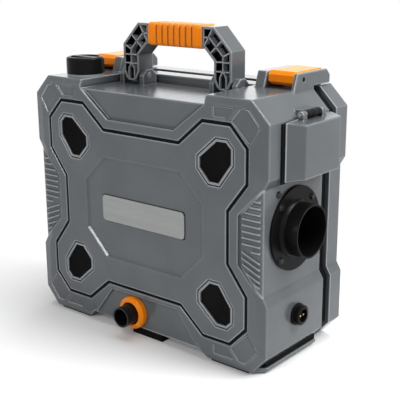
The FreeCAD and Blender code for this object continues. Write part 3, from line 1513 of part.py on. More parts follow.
def check_and_export():
    doc.recompute()
    for item in doc.Objects:
        if "Invalid" in item.State or "Error" in item.State:
            raise ValueError(f"{item.Label}: {item.State}")
    for node in nodes:
        if node.Shape.isNull() or not node.Shape.isValid() or not node.Shape.Solids:
            raise ValueError(f"{node.Label}: its shape is not a valid solid")
    os.makedirs("parts", exist_ok=True)
    for node in nodes:
        node.Shape.exportStep(f"parts/{node.Label}.step")
    print(len(nodes), "sub-parts")


make_front_shell()
make_panel()
make_trim()
make_rear_cover()
make_handle()
make_latches()
make_fuel_side()
make_ports()
make_controls()
make_heater()
make_electrics()
check_and_export()
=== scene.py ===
"""Looks of a parking heater in a carry case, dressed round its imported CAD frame. Lengths are metres."""

import json
import math

import bmesh
import bpy
from mathutils import Matrix, Vector, geometry


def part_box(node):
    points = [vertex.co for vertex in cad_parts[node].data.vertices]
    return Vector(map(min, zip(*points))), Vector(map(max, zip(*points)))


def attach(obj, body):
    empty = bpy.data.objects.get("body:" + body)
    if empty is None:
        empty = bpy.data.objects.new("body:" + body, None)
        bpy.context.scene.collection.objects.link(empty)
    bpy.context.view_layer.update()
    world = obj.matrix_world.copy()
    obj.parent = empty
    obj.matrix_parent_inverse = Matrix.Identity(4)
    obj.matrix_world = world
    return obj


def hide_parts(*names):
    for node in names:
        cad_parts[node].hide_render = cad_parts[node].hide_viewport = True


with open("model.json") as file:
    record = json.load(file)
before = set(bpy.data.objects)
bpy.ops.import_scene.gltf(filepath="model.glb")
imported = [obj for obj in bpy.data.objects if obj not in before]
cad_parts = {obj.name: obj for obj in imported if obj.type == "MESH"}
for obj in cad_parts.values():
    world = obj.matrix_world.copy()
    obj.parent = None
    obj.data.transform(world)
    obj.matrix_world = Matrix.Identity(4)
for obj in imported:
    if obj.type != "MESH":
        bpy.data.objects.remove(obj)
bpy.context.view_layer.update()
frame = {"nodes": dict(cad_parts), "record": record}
nodes = frame["nodes"]

MM = 0.001

# Camera, as read from the photograph's edges
CAMERA_PLACE = (0.6652, -0.7758, 0.4484)
CAMERA_AZIMUTH = math.radians(39.59)
CAMERA_ELEVATION = math.radians(15.93)
CAMERA_ROLL = math.radians(-0.36)
CAMERA_LENS_MM = 77.7
CAMERA_SENSOR_MM = 36.0
CAMERA_NEAR = 0.01

# Colours of the finishes, linear
GREY_DARK = (0.074, 0.082, 0.089, 1)
GREY_LIGHT = (0.090, 0.099, 0.106, 1)
BLACK_DARK = (0.0025, 0.0026, 0.0025, 1)
BLACK_LIGHT = (0.0055, 0.0056, 0.0054, 1)
ORANGE_DARK = (0.86, 0.205, 0.0006, 1)
ORANGE_LIGHT = (0.94, 0.235, 0.0012, 1)
PLATE_DARK = (0.255, 0.262, 0.258, 1)
PLATE_LIGHT = (0.285, 0.292, 0.288, 1)
STEEL_DARK = (0.42, 0.42, 0.43, 1)
STEEL_LIGHT = (0.55, 0.55, 0.56, 1)
SOOT_DARK = (0.006, 0.006, 0.006, 1)
SOOT_LIGHT = (0.014, 0.0135, 0.013, 1)
ALLOY_DARK = (0.48, 0.49, 0.50, 1)
ALLOY_LIGHT = (0.62, 0.63, 0.64, 1)
BRASS_DARK = (0.50, 0.34, 0.10, 1)
BRASS_LIGHT = (0.64, 0.45, 0.16, 1)
TANK_DARK = (0.55, 0.54, 0.48, 1)
TANK_LIGHT = (0.66, 0.65, 0.60, 1)
BOARD_DARK = (0.010, 0.085, 0.035, 1)
BOARD_LIGHT = (0.018, 0.120, 0.050, 1)
GLASS_DARK = (0.008, 0.010, 0.012, 1)
GLASS_LIGHT = (0.016, 0.019, 0.022, 1)

# Mottle, gloss and grain of the finishes; cells are per metre
EVEN = (1, 1, 1)
BRUSHED = (1, 1, 8)
MOTTLE_CELLS = 18
MOTTLE_LOW = 0.3
MOTTLE_HIGH = 0.7
GLOSS_CELLS = 55
NOISE_DETAIL = 3.0
GRAIN_DETAIL = 2.0
GLASS_MOTTLE_CELLS = 30
GLASS_SMEAR_CELLS = 80
GLASS_GLOSS = (0.03, 0.12)
GLASS_COAT = 0.6
GRAIN_DEPTH = 0.2 * MM
GRAIN_STRENGTH = 0.03

# Painted highlights along outer edges and painted shade in inner corners
EDGE_CLEAR = 0.97
EDGE_FULL = 0.7
CORNER_SHADE_REACH = 5 * MM
CORNER_SHADE_LIMIT = 0.75
CORNER_SHADE_TONE = (0.02, 0.021, 0.022, 1)
EDGE_HIGHLIGHT_REACH = 1.9 * MM
EDGE_HIGHLIGHT_LIMIT = 0.6
GREY_EDGE_HIGHLIGHT = (0.42, 0.44, 0.46, 1)
ORANGE_EDGE_HIGHLIGHT = (0.95, 0.42, 0.06, 1)


def new_material(name):
    """An empty material with its node tree and its shader."""
    material = bpy.data.materials.new(name)
    material.use_nodes = True
    tree = material.node_tree
    return material, tree, tree.nodes["Principled BSDF"]


def noise(tree, scale, detail=NOISE_DETAIL, stretch=EVEN):
    """A noise texture in the piece's own coordinates; scale is in cells per metre."""
    coordinates = tree.nodes.new("ShaderNodeTexCoord")
    mapping = tree.nodes.new("ShaderNodeMapping")
    mapping.inputs["Scale"].default_value = stretch
    texture = tree.nodes.new("ShaderNodeTexNoise")
    texture.inputs["Scale"].default_value = scale
    texture.inputs["Detail"].default_value = detail
    tree.links.new(coordinates.outputs["Object"], mapping.inputs["Vector"])
    tree.links.new(mapping.outputs["Vector"], texture.inputs["Vector"])
    return texture.outputs["Fac"]


def edge_share(tree, reach, inside):
    """How much of the near space round a point is taken: outside for corners, inside for outer edges; it
    masks the painted shade and the painted highlights.
    """
    near = tree.nodes.new("ShaderNodeAmbientOcclusion")
    near.inside = inside
    near.only_local = True
    near.inputs["Distance"].default_value = reach
    spread = tree.nodes.new("ShaderNodeMapRange")
    spread.inputs["From Min"].default_value = EDGE_CLEAR
    spread.inputs["From Max"].default_value = EDGE_FULL
    tree.links.new(near.outputs["AO"], spread.inputs["Value"])
    return spread.outputs["Result"]


def laid_over(tree, share, limit, under, over):
    """One colour over another, as far as a share and a limit go."""
    amount = tree.nodes.new("ShaderNodeMath")
    amount.operation = "MULTIPLY"
    amount.inputs[1].default_value = limit
    mix = tree.nodes.new("ShaderNodeMix")
    mix.data_type = "RGBA"
    mix.inputs["B"].default_value = over
    tree.links.new(share, amount.inputs[0])
    tree.links.new(amount.outputs["Value"], mix.inputs["Factor"])
    tree.links.new(under, mix.inputs["A"])
    return mix.outputs["Result"]


def tint(tree, shader, pattern, dark, light, edge_highlight):
    """The base colour wanders between two tones; with an edge highlight tone, outer edges get a painted
    highlight and inner corners painted shade.
    """
    ramp = tree.nodes.new("ShaderNodeValToRGB")
    ramp.color_ramp.elements[0].position = MOTTLE_LOW
    ramp.color_ramp.elements[0].color = dark
    ramp.color_ramp.elements[1].position = MOTTLE_HIGH
    ramp.color_ramp.elements[1].color = light
    tree.links.new(pattern, ramp.inputs["Fac"])
    colour = ramp.outputs["Color"]
    if edge_highlight:
        # Inner corners painted darker: painted shade
        colour = laid_over(tree, edge_share(tree, CORNER_SHADE_REACH, False), CORNER_SHADE_LIMIT, colour, CORNER_SHADE_TONE)
        # Outer edges painted lighter: a painted highlight
        colour = laid_over(tree, edge_share(tree, EDGE_HIGHLIGHT_REACH, True), EDGE_HIGHLIGHT_LIMIT, colour, edge_highlight)
    tree.links.new(colour, shader.inputs["Base Color"])


def roughen(tree, shader, pattern, smooth, rough):
    """The roughness wanders between two values along a pattern."""
    spread = tree.nodes.new("ShaderNodeMapRange")
    spread.inputs["To Min"].default_value = smooth
    spread.inputs["To Max"].default_value = rough
    tree.links.new(pattern, spread.inputs["Value"])
    tree.links.new(spread.outputs["Result"], shader.inputs["Roughness"])


def emboss(tree, shader, pattern, depth, strength):
    """A fine grain in the surface."""
    bump = tree.nodes.new("ShaderNodeBump")
    bump.inputs["Strength"].default_value = strength
    bump.inputs["Distance"].default_value = depth
    tree.links.new(pattern, bump.inputs["Height"])
    tree.links.new(bump.outputs["Normal"], shader.inputs["Normal"])


def finish_of(name, tones, gloss, grain, metallic=0.0, sheen=0.5, stretch=EVEN, edge_highlight=None):
    """A finish with a mottled tone, a gloss that wanders and a fine grain; with an edge highlight tone,
    painted highlights on outer edges and painted shade in inner corners.
    """
    material, tree, shader = new_material(name)
    shader.inputs["Metallic"].default_value = metallic
    shader.inputs["Specular IOR Level"].default_value = sheen
    tint(tree, shader, noise(tree, MOTTLE_CELLS, stretch=stretch), *tones, edge_highlight)
    roughen(tree, shader, noise(tree, GLOSS_CELLS, stretch=stretch), *gloss)
    emboss(tree, shader, noise(tree, grain, GRAIN_DETAIL, stretch), GRAIN_DEPTH, GRAIN_STRENGTH)
    return material


def glass_finish():
    """Dark tinted glass with faint smears."""
    material, tree, shader = new_material("glass")
    tint(tree, shader, noise(tree, GLASS_MOTTLE_CELLS), GLASS_DARK, GLASS_LIGHT, None)
    roughen(tree, shader, noise(tree, GLASS_SMEAR_CELLS), *GLASS_GLOSS)
    shader.inputs["Coat Weight"].default_value = GLASS_COAT
    return material


# Name, two tones, range of roughness, cells of grain per metre and, for metals, how metallic
PLAIN_FINISHES = (
    ("steel", (STEEL_DARK, STEEL_LIGHT), (0.22, 0.38), 900, 1.0),
    ("exhaust_steel", (SOOT_DARK, SOOT_LIGHT), (0.30, 0.45), 900, 0.5),
    ("aluminium", (ALLOY_DARK, ALLOY_LIGHT), (0.35, 0.55), 1500, 1.0),
    ("brass", (BRASS_DARK, BRASS_LIGHT), (0.25, 0.40), 900, 1.0),
    ("tank_plastic", (TANK_DARK, TANK_LIGHT), (0.40, 0.55), 700),
    ("board", (BOARD_DARK, BOARD_LIGHT), (0.35, 0.50), 900),
)
BLACKS = (BLACK_DARK, BLACK_LIGHT)
GREYS = (GREY_DARK, GREY_LIGHT)
ORANGES = (ORANGE_DARK, ORANGE_LIGHT)
FINISHES = {
    # Grey and orange get painted highlights on outer edges and painted shade in inner corners
    "case_grey": finish_of("case_grey", GREYS, (0.16, 0.26), 700, sheen=0.45, edge_highlight=GREY_EDGE_HIGHLIGHT),
    "trim_black": finish_of("trim_black", BLACKS, (0.24, 0.36), 900, sheen=0.08),
    "orange": finish_of("orange", ORANGES, (0.24, 0.34), 700, sheen=0.12, edge_highlight=ORANGE_EDGE_HIGHLIGHT),
    "rubber": finish_of("rubber", BLACKS, (0.60, 0.80), 900, sheen=0.06),
    "screen": finish_of("screen", BLACKS, (0.50, 0.65), 900, sheen=0.06),
    "plate": finish_of("plate", (PLATE_DARK, PLATE_LIGHT), (0.32, 0.42), 700, 0.2, stretch=BRUSHED),
    "glass": glass_finish(),
}
FINISHES.update({finish[0]: finish_of(*finish) for finish in PLAIN_FINISHES})
SLOT_OF = {entry["node"]: entry["material_slot"] for entry in frame["record"]["subparts"]}

# Edge rounding of the mouldings that show
EDGE_ROUNDS = {
    "front_shell": 1.2 * MM,
    "rear_cover": 0.4 * MM,
    "front_panel": 0.6 * MM,
    "vent_frame_upper_left": 0.7 * MM,
    "vent_frame_upper_right": 0.7 * MM,
    "vent_frame_lower_left": 0.7 * MM,
    "vent_frame_lower_right": 0.7 * MM,
    "handle_frame": 0.8 * MM,
    "latch_lever_left": 0.8 * MM,
    "latch_lever_right": 0.8 * MM,
    "side_cover": 1.4 * MM,
    "exhaust_collar": 0.6 * MM,
    "outlet_spigot": 0.4 * MM,
    "fuel_cap": 0.8 * MM,
    "nameplate": 0.4 * MM,
}

# Sharpness and fineness of rounds and curves
MERGE_REACH = 0.005 * MM
EDGE_ANGLE = math.radians(28)
SMOOTH_ANGLE = math.radians(40)
EDGE_STEPS = 3
CORNER_STEPS = 5
GROOVE_STEPS = 4


def round_edges(piece, width):
    """Small rounds along the sharp edges of a moulding."""
    weld = piece.modifiers.new("weld", "WELD")
    weld.merge_threshold = MERGE_REACH
    bevel = piece.modifiers.new("bevel", "BEVEL")
    bevel.width = width
    bevel.segments = EDGE_STEPS
    bevel.limit_method = "ANGLE"
    bevel.angle_limit = EDGE_ANGLE
    bevel.use_clamp_overlap = False
    bevel.loop_slide = False
    weighted = piece.modifiers.new("weighted", "WEIGHTED_NORMAL")
    weighted.keep_sharp = True


def dress_frame():
    """Every CAD node gets its finish, and the visible mouldings get rounded edges."""
    for name, node in nodes.items():
        slot = SLOT_OF[name]
        node.data.materials.clear()
        node.data.materials.append(FINISHES[slot])
    for name, width in EDGE_ROUNDS.items():
        round_edges(nodes[name], width)


# Bow of the handle, as its moulding has it
HANDLE_LEG_W = 25 * MM
HANDLE_BAR_H = 24 * MM
HANDLE_SHOULDER_DROP = 26 * MM
HANDLE_INNER_CORNER = 14 * MM
HANDLE_FOOT_IN = 7 * MM
HANDLE_FOOT_H = 14 * MM
HANDLE_RIM = 3 * MM
HANDLE_POCKET_D = 9 * MM
# Depth of the black sheet in the eye, painted shade
HANDLE_EYE_SHADE_DEPTH = 5 * MM
HANDLE_EYE_H = 19 * MM

# Ribs, black sheets of painted shade and arch in the pockets of the bow
RIB_T = 1.5 * MM
RIB_DROP = 0.6 * MM
SHADE_SHEET_T = 0.4 * MM
SHADE_SHEET_DROP = 1.5 * MM
ARCH_HALF_W = 4.6 * MM
ARCH_FOOT_H = 4.5 * MM
ARCH_SPRING_H = 17 * MM
ARCH_TOP_H = 25 * MM

# Sleeve of the grip
GRIP_GROOVES = 7
GRIP_GROOVE_PITCH = 9 * MM
GRIP_GROOVE_HALF_W = 1.6 * MM
GRIP_SLEEVE_T = 1.5 * MM
GRIP_GROOVE_T = 0.3 * MM
GRIP_CORNER_R = 4.5 * MM
GRIP_END_L = 2 * MM

# Wire mesh of the vents
WIRE_PITCH = 2.6 * MM
WIRE_T = 0.5 * MM

# Power inlet; its shares are parts of the socket's half width
SOCKET_RISE = 6.5 * MM
SOCKET_FLANGE_T = 2.4 * MM
SOCKET_EDGE = 0.8 * MM
SOCKET_MOUTH_D = 7 * MM
SOCKET_LIP_L = 2.6 * MM
SOCKET_LIP_SHARE = 0.9
SOCKET_NECK_SHARE = 0.8
SOCKET_MOUTH_SHARE = 0.6
SOCKET_ROUND_SHARE = 0.9

# Dark ring round the nameplate, painted shade along its edge
SHADE_RING_RIM = 0.8 * MM
SHADE_RING_T = 0.3 * MM
SHADE_RING_CORNER_R = 4.5 * MM

# Black sleeve on the side cover's hinge, painted shade of the slit above the cover; its shares are parts of
# its half length
SLEEVE_R = 4.2 * MM
SLEEVE_GROOVE_R = 4.05 * MM
SLEEVE_HALF_L = 13.7 * MM
SLEEVE_SIDES = 32
SLEEVE_END_SHARE = 0.97
SLEEVE_GROOVE_SHARE = 0.45
SLEEVE_EDGE_SHARE = 0.05

# Black strip round the side cover, painted shade of the gap between cover and case
SHADE_STRIP_T = 1.7 * MM
SHADE_STRIP_FRONT = 4 * MM
SHADE_STRIP_REST = 0.8 * MM


class Builder:
    """Collects the points and faces of one piece."""

    def __init__(self):
        self.points = []
        self.faces = []

    def prism(self, outline, low, high):
        """An outline in x and z, drawn out along y."""
        start, count = len(self.points), len(outline)
        self.points += [(x, low, z) for x, z in outline]
        self.points += [(x, high, z) for x, z in outline]
        self.faces.append(tuple(range(start, start + count)))
        self.faces.append(tuple(range(start + 2 * count - 1, start + count - 1, -1)))
        for index in range(count):
            after = (index + 1) % count
            self.faces.append((start + index, start + count + index, start + count + after, start + after))

    def bar(self, ends, thickness, low, high):
        """A straight rib between two places in x and z."""
        (x0, z0), (x1, z1) = ends
        length = math.hypot(x1 - x0, z1 - z0)
        across = ((z0 - z1) / length * thickness / 2, (x1 - x0) / length * thickness / 2)
        self.prism([(x0 - across[0], z0 - across[1]), (x1 - across[0], z1 - across[1]),
                    (x1 + across[0], z1 + across[1]), (x0 + across[0], z0 + across[1])], low, high)

    def skin(self, sections):
        """A closed skin over rings of points, with its ends closed."""
        start, count = len(self.points), len(sections[0])
        for section in sections:
            self.points += section
        for ring in range(len(sections) - 1):
            base = start + ring * count
            for index in range(count):
                after = (index + 1) % count
                self.faces.append((base + index, base + after, base + count + after, base + count + index))
        last = start + (len(sections) - 1) * count
        self.faces.append(tuple(range(start + count - 1, start - 1, -1)))
        self.faces.append(tuple(range(last, last + count)))

    def piece(self, name, body, slot, smooth_angle=None):
        """The mesh object, with its finish, riding on a body."""
        mesh = bpy.data.meshes.new(name)
        mesh.from_pydata(self.points, [], self.faces)
        shape = bmesh.new()
        shape.from_mesh(mesh)
        bmesh.ops.recalc_face_normals(shape, faces=shape.faces)
        shape.to_mesh(mesh)
        shape.free()
        mesh.materials.append(FINISHES[slot])
        if smooth_angle is not None:
            mesh.shade_smooth()
            mesh.set_sharp_from_angle(angle=smooth_angle)
        made = bpy.data.objects.new(name, mesh)
        bpy.context.scene.collection.objects.link(made)
        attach(made, body)
        return made


def shrunk(outline, gap):
    """An outline that runs anticlockwise, taken in by a gap with mitred corners."""
    result = []
    for index, (x, z) in enumerate(outline):
        before, after = Vector(outline[index - 1]), Vector(outline[(index + 1) % len(outline)])
        here = Vector((x, z))
        arrive, leave = (here - before).normalized(), (after - here).normalized()
        inward, onward = Vector((-arrive.y, arrive.x)), Vector((-leave.y, leave.x))
        mitre = (inward + onward) / (1 + inward.dot(onward))
        result.append(tuple(here + mitre * gap))
    return result


def swapped(outline, side):
    """The outline on the right, or its mirror image on the left in the same sense."""
    return outline if side > 0 else [(-x, z) for x, z in reversed(outline)]


def dress_handle():
    """Black sheets in the pockets of the handle, painted shade there, with its web of thin ribs."""
    low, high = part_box("handle_frame")
    grip_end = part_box("handle_grip")[1].x
    outer, top, foot = high.x, high.z, low.z
    inner = outer - HANDLE_LEG_W
    bar, shoulder = top - HANDLE_BAR_H, top - HANDLE_SHOULDER_DROP
    corner = inner - HANDLE_INNER_CORNER
    ankle = foot + HANDLE_FOOT_H
    bow = [(grip_end, bar), (corner, bar), (inner, bar - HANDLE_INNER_CORNER), (inner, ankle),
           (inner + HANDLE_FOOT_IN, foot), (outer - HANDLE_FOOT_IN, foot), (outer, ankle), (outer, shoulder),
           (inner, top), (grip_end, top)]
    pocket = shrunk(bow, HANDLE_RIM)
    seats = [Vector(place) for place in shrunk(bow, HANDLE_RIM / 2)]
    inner_bend, outer_bend = (seats[1] + seats[2]) / 2, (seats[7] + seats[8]) / 2
    shoulder_seat = seats[7]
    bend_high = ((corner + inner) / 2, (bar + top) / 2)
    bend_low = ((inner + outer) / 2, (bar - HANDLE_INNER_CORNER + shoulder) / 2)
    middle = bend_low[0]
    spring, crown = foot + ARCH_SPRING_H, foot + ARCH_TOP_H
    ribs = [
        ((grip_end, bend_high[1]), bend_high),
        (bend_high, bend_low),
        (bend_low, (middle, crown)),
        ((corner, bar + HANDLE_RIM), (inner - HANDLE_RIM, top - HANDLE_RIM)),
        (tuple(inner_bend), tuple(outer_bend)),
        (bend_low, tuple(shoulder_seat)),
        ((inner + HANDLE_FOOT_IN, foot + ARCH_FOOT_H), (outer - HANDLE_FOOT_IN, foot + ARCH_FOOT_H)),
    ]
    for way in (-1, 1):
        foot_place = (middle + way * ARCH_HALF_W, foot + ARCH_FOOT_H)
        spring_place = (middle + way * ARCH_HALF_W, spring)
        ribs += [(foot_place, spring_place), (spring_place, (middle, crown))]
    eye_top = foot + HANDLE_EYE_H
    heel = pocket[3:7]
    eye_shade = [(heel[0][0], eye_top), *heel, (heel[-1][0], eye_top)]
    # The black sheets and bars paint the shade inside the pockets and the eye
    shade_sheets, web = Builder(), Builder()
    front, rear = low.y + HANDLE_POCKET_D, high.y - HANDLE_POCKET_D
    for side in (1, -1):
        shade_outline = swapped(shrunk(pocket, SHADE_SHEET_T), side)
        shade_sheets.prism(shade_outline, front - SHADE_SHEET_T, front)
        shade_sheets.prism(shade_outline, rear, rear + SHADE_SHEET_T)
        shade_sheets.prism(swapped(shrunk(eye_shade, SHADE_SHEET_T), side), front - HANDLE_EYE_SHADE_DEPTH, front)
        for ends in ribs:
            pair = swapped(list(ends), side)
            web.bar(pair, RIB_T, low.y + RIB_DROP, front)
            web.bar(pair, RIB_T, rear, high.y - RIB_DROP)
    for side in (1, -1):
        rim = swapped(shrunk(pocket, SHADE_SHEET_T / 2), side)
        for edge_low, edge_high in ((low.y + SHADE_SHEET_DROP, front), (rear, high.y - SHADE_SHEET_DROP)):
            for index, corner_place in enumerate(rim):
                shade_sheets.bar((rim[index - 1], corner_place), SHADE_SHEET_T, edge_low, edge_high)
    shade_sheets.piece("handle_pocket_shade_sheets", "handle", "trim_black")
    web.piece("handle_ribs", "handle", "case_grey")


def rounded_rectangle(low, high, radius):
    """The outline of a rectangle between two places of its plane, with round corners."""
    outline = []
    middle, reach = (low + high) / 2, (high - low) / 2 - Vector((radius, radius))
    for quarter, (across, up) in enumerate(((1, 1), (-1, 1), (-1, -1), (1, -1))):
        for step in range(CORNER_STEPS + 1):
            angle = (quarter + step / CORNER_STEPS) * math.pi / 2
            outline.append((middle.x + across * reach.x + radius * math.cos(angle),
                            middle.y + up * reach.y + radius * math.sin(angle)))
    return outline


def rounded_ring(x, low, high, radius):
    """A ring in y and z between two corners, with round corners of its own."""
    return [(x, y, z) for y, z in rounded_rectangle(low.yz, high.yz, radius)]


def dress_grip():
    """The grip sleeve with soft corners and grooves all round it."""
    low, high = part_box("handle_grip")
    margin = Vector((0, GRIP_SLEEVE_T, GRIP_SLEEVE_T))
    bar_low, bar_high = low + margin, high - margin
    stations = [(low.x, GRIP_GROOVE_T), (low.x + GRIP_END_L, GRIP_SLEEVE_T)]
    for index in range(GRIP_GROOVES):
        centre = (index - (GRIP_GROOVES - 1) / 2) * GRIP_GROOVE_PITCH
        for step in range(-GROOVE_STEPS, GROOVE_STEPS + 1):
            share = step / GROOVE_STEPS
            depth = (GRIP_SLEEVE_T - GRIP_GROOVE_T) * (1 + math.cos(share * math.pi)) / 2
            stations.append((centre + share * GRIP_GROOVE_HALF_W, GRIP_SLEEVE_T - depth))
    stations += [(high.x - GRIP_END_L, GRIP_SLEEVE_T), (high.x, GRIP_GROOVE_T)]
    grip = Builder()
    spread = Vector((0, 1, 1))
    grip.skin([rounded_ring(x, bar_low - grow * spread, bar_high + grow * spread, GRIP_CORNER_R)
               for x, grow in stations])
    sleeve = grip.piece("grip_sleeve", "handle", "orange", SMOOTH_ANGLE)
    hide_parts("handle_grip")


def dress_plate():
    """A thin dark ring round the nameplate, painted shade along its edge."""
    low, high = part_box("nameplate")
    rim = Vector((SHADE_RING_RIM, SHADE_RING_RIM))
    outline = rounded_rectangle(low.xz - rim, high.xz + rim, SHADE_RING_CORNER_R)
    shade_ring = Builder()
    shade_ring.prism(outline, high.y - SHADE_RING_T, high.y)
    shade_ring.piece("nameplate_shade_ring", "case", "rubber")


def crossing(outline, slope, offset):
    """Where the line z = slope * x + offset runs through a convex outline."""
    found = []
    for index, (x1, z1) in enumerate(outline):
        x0, z0 = outline[index - 1]
        level0, level1 = z0 - slope * x0 - offset, z1 - slope * x1 - offset
        if level0 * level1 < 0:
            share = level0 / (level0 - level1)
            found.append((x0 + share * (x1 - x0), z0 + share * (z1 - z0)))
    return found


def dress_vents():
    """A woven wire mesh over each vent screen."""
    for name in [name for name in nodes if name.startswith("vent_screen")]:
        low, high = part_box(name)
        flat = [Vector((v.co.x, v.co.z)) for v in nodes[name].data.vertices]
        outline = [tuple(flat[index]) for index in geometry.convex_hull_2d(flat)]
        mesh = Builder()
        middle = (low + high) / 2
        count = int((high.x - low.x + high.z - low.z) / WIRE_PITCH)
        for slope in (1, -1):
            front = low.y - WIRE_T if slope > 0 else low.y - WIRE_T / 2
            for index in range(-count, count + 1):
                ends = crossing(outline, slope, middle.z - slope * middle.x + index * WIRE_PITCH)
                if len(ends) == 2:
                    mesh.bar(ends, WIRE_T, front, low.y)
        mesh.piece(name.replace("vent_screen", "vent_wires"), "case", "screen")


def dress_socket():
    """The power inlet: a flange, a neck and a lipped mouth round its contacts."""
    low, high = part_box("power_socket")
    centre, reach = (low + high) / 2, (high - low) / 2
    wall = high.x - SOCKET_RISE
    lip = high.x - SOCKET_LIP_L
    profile = [
        (low.x, SOCKET_NECK_SHARE), (wall - SOCKET_FLANGE_T, SOCKET_NECK_SHARE), (wall - SOCKET_FLANGE_T, 1),
        (wall, 1), (wall + SOCKET_EDGE, SOCKET_LIP_SHARE), (wall + SOCKET_EDGE, SOCKET_NECK_SHARE),
        (lip, SOCKET_NECK_SHARE), (lip, SOCKET_LIP_SHARE), (high.x - SOCKET_EDGE, SOCKET_LIP_SHARE),
        (high.x, SOCKET_NECK_SHARE), (high.x, SOCKET_MOUTH_SHARE),
        (high.x - SOCKET_MOUTH_D, SOCKET_MOUTH_SHARE),
    ]
    shell = Builder()
    spread = Vector((0, reach.y, reach.z))
    radius = SOCKET_ROUND_SHARE * reach.y
    shell.skin([rounded_ring(x, centre - share * spread, centre + share * spread, share * radius)
                for x, share in profile])
    inlet = shell.piece("power_inlet_shell", "case", "trim_black", SMOOTH_ANGLE)
    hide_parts("power_socket")


def dress_side():
    """The black strip that shows round the side cover, painted shade of the gap between cover and case."""
    low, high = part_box("side_cover")
    seal_low, seal_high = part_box("cover_seal")
    hinge_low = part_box("cover_hinge_pin")[0].z
    top = min(seal_high.z, hinge_low)
    lip = Builder()
    outer = [(low.y - SHADE_STRIP_FRONT, low.z - SHADE_STRIP_REST), (high.y + SHADE_STRIP_REST, low.z - SHADE_STRIP_REST),
             (high.y + SHADE_STRIP_REST, top), (low.y - SHADE_STRIP_FRONT, top)]
    inner = [(seal_low.y, seal_low.z), (seal_high.y, seal_low.z), (seal_high.y, seal_high.z),
             (seal_low.y, seal_high.z)]
    count = len(outer)
    x_low, x_high = seal_low.x, seal_low.x + SHADE_STRIP_T
    for x in (x_low, x_high):
        lip.points += [(x, y, z) for y, z in outer]
        lip.points += [(x, y, z) for y, z in inner]
    for index in range(count):
        after = (index + 1) % count
        lip.faces.append((index, after, count + after, count + index))
        lip.faces.append((2 * count + index, 2 * count + after, 3 * count + after, 3 * count + index))
        lip.faces.append((index, after, 2 * count + after, 2 * count + index))
        lip.faces.append((count + index, count + after, 3 * count + after, 3 * count + index))
    lip.piece("side_cover_shade_strip", "case", "rubber")


def dress_hinge():
    """A black sleeve with two grooves on the fixed barrel of the side cover's hinge, painted shade of the
    slit above the cover.
    """
    low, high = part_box("cover_hinge_pin")
    axis = (low + high) / 2
    stations = [(-1, SLEEVE_GROOVE_R), (-SLEEVE_END_SHARE, SLEEVE_R)]
    for groove in (-SLEEVE_GROOVE_SHARE, SLEEVE_GROOVE_SHARE):
        stations += [(groove - SLEEVE_EDGE_SHARE, SLEEVE_R), (groove, SLEEVE_GROOVE_R),
                     (groove + SLEEVE_EDGE_SHARE, SLEEVE_R)]
    stations += [(SLEEVE_END_SHARE, SLEEVE_R), (1, SLEEVE_GROOVE_R)]
    turns = [2 * math.pi * step / SLEEVE_SIDES for step in range(SLEEVE_SIDES)]
    sleeve, rings = Builder(), []
    for share, radius in stations:
        along = axis.y + share * SLEEVE_HALF_L
        rings.append([(axis.x + radius * math.cos(turn), along, axis.z + radius * math.sin(turn))
                      for turn in turns])
    sleeve.skin(rings)
    sleeve.piece("hinge_shade_sleeve", "case", "trim_black", SMOOTH_ANGLE)


# Studio: floor, backdrop and lamps
FLOOR_HALF = 6.0
WHITE = (1, 1, 1, 1)
FLOOR_TONE = (0.9, 0.9, 0.9, 1)
FLOOR_ROUGH = 0.9
FADE_START = 0.2
FADE_END = 0.42
GLOW_SHARE = 0.05
AMBIENT = 0.17
STUDIO_CENTRE = (0, 0, 0.16)
# Name, place, size and watts; spark, glint and rim are small ones that the bevels mirror
LAMPS = (
    ("key", (1.4, 0.5, 1.5), 1.0, 41),
    ("front", (0.9, -1.8, 0.4), 1.0, 0.5),
    ("spark", (0.21, -1.77, 1.13), 0.3, 8),
    ("glint", (0.59, -1.6, 1.52), 0.25, 5),
    ("rim", (-0.94, -1.83, 0.71), 0.25, 4),
    ("top", (0.1, 0.3, 1.9), 1.5, 25),
    ("back", (-1.2, 1.5, 0.7), 1.4, 5),
)


def area_light(name, place, target, size, power):
    """A square soft box at a place, turned to a target."""
    data = bpy.data.lights.new(name, "AREA")
    data.size = size
    data.energy = power
    light = bpy.data.objects.new(name, data)
    bpy.context.scene.collection.objects.link(light)
    light.location = place
    light.rotation_euler = (Vector(target) - Vector(place)).to_track_quat("-Z", "Y").to_euler()
    light.visible_camera = False


def seen_rays(tree):
    """One for the rays that show the backdrop: straight to the camera, in a reflection or through glass."""
    path = tree.nodes.new("ShaderNodeLightPath")
    seen = path.outputs["Is Camera Ray"]
    for kind in ("Is Glossy Ray", "Is Transmission Ray"):
        either = tree.nodes.new("ShaderNodeMath")
        either.operation = "MAXIMUM"
        tree.links.new(seen, either.inputs[0])
        tree.links.new(path.outputs[kind], either.inputs[1])
        seen = either.outputs["Value"]
    return seen


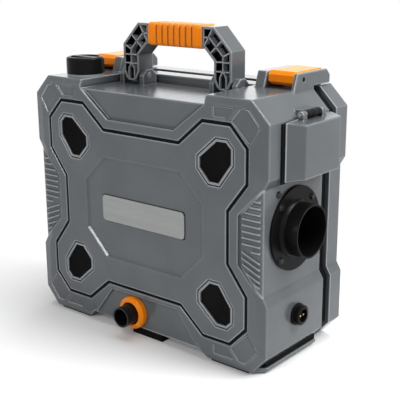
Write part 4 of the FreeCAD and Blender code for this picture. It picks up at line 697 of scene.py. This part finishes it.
def add_floor():
    """A pale floor that keeps the object's shadow and fades to the white of the backdrop."""
    mesh = bpy.data.meshes.new("floor")
    corners = [(-FLOOR_HALF, -FLOOR_HALF, 0), (FLOOR_HALF, -FLOOR_HALF, 0), (FLOOR_HALF, FLOOR_HALF, 0),
               (-FLOOR_HALF, FLOOR_HALF, 0)]
    mesh.from_pydata(corners, [], [(0, 1, 2, 3)])
    floor = bpy.data.objects.new("floor", mesh)
    bpy.context.scene.collection.objects.link(floor)
    material, tree, shader = new_material("floor_white")
    shader.inputs["Base Color"].default_value = FLOOR_TONE
    shader.inputs["Roughness"].default_value = FLOOR_ROUGH
    shader.inputs["Specular IOR Level"].default_value = 0.0
    glow = tree.nodes.new("ShaderNodeEmission")
    coordinates = tree.nodes.new("ShaderNodeTexCoord")
    distance = tree.nodes.new("ShaderNodeVectorMath")
    distance.operation = "LENGTH"
    fade = tree.nodes.new("ShaderNodeMapRange")
    fade.inputs["From Min"].default_value = FADE_START
    fade.inputs["From Max"].default_value = FADE_END
    fade.inputs["To Min"].default_value = GLOW_SHARE
    seen = tree.nodes.new("ShaderNodeMath")
    seen.operation = "MULTIPLY"
    blend = tree.nodes.new("ShaderNodeMixShader")
    tree.links.new(coordinates.outputs["Object"], distance.inputs[0])
    tree.links.new(distance.outputs["Value"], fade.inputs["Value"])
    tree.links.new(fade.outputs["Result"], seen.inputs[0])
    tree.links.new(seen_rays(tree), seen.inputs[1])
    tree.links.new(seen.outputs["Value"], blend.inputs["Fac"])
    tree.links.new(shader.outputs["BSDF"], blend.inputs[1])
    tree.links.new(glow.outputs["Emission"], blend.inputs[2])
    tree.links.new(blend.outputs["Shader"], tree.nodes["Material Output"].inputs["Surface"])
    mesh.materials.append(material)


def add_world():
    """A white studio: full white to the camera and in reflections, softer as a light."""
    world = bpy.data.worlds.new("studio")
    bpy.context.scene.world = world
    world.use_nodes = True
    tree = world.node_tree
    background = tree.nodes["Background"]
    background.inputs["Color"].default_value = WHITE
    strength = tree.nodes.new("ShaderNodeMapRange")
    strength.inputs["To Min"].default_value = AMBIENT
    tree.links.new(seen_rays(tree), strength.inputs["Value"])
    tree.links.new(strength.outputs["Result"], background.inputs["Strength"])


def add_camera():
    """The camera at the photograph's angle."""
    data = bpy.data.cameras.new("camera")
    data.lens = CAMERA_LENS_MM
    data.sensor_width = CAMERA_SENSOR_MM
    data.clip_start = CAMERA_NEAR
    camera = bpy.data.objects.new("camera", data)
    bpy.context.scene.collection.objects.link(camera)
    level = math.cos(CAMERA_ELEVATION)
    east, north = math.sin(CAMERA_AZIMUTH), math.cos(CAMERA_AZIMUTH)
    back = Vector((east * level, -north * level, math.sin(CAMERA_ELEVATION)))
    right = Vector((north, east, 0))
    turn = Matrix.Rotation(CAMERA_ROLL, 3, back)
    right = turn @ right
    up = back.cross(right)
    camera.matrix_world = Matrix.Translation(CAMERA_PLACE) @ Matrix((right, up, back)).transposed().to_4x4()
    bpy.context.scene.camera = camera


def add_studio():
    """All the soft boxes."""
    for name, place, size, power in LAMPS:
        area_light(name, place, STUDIO_CENTRE, size, power)


dress_frame()
dress_handle()
dress_grip()
dress_plate()
dress_vents()
dress_socket()
dress_side()
dress_hinge()
add_floor()
add_world()
add_studio()
add_camera()
bpy.context.scene.view_settings.view_transform = "Standard"
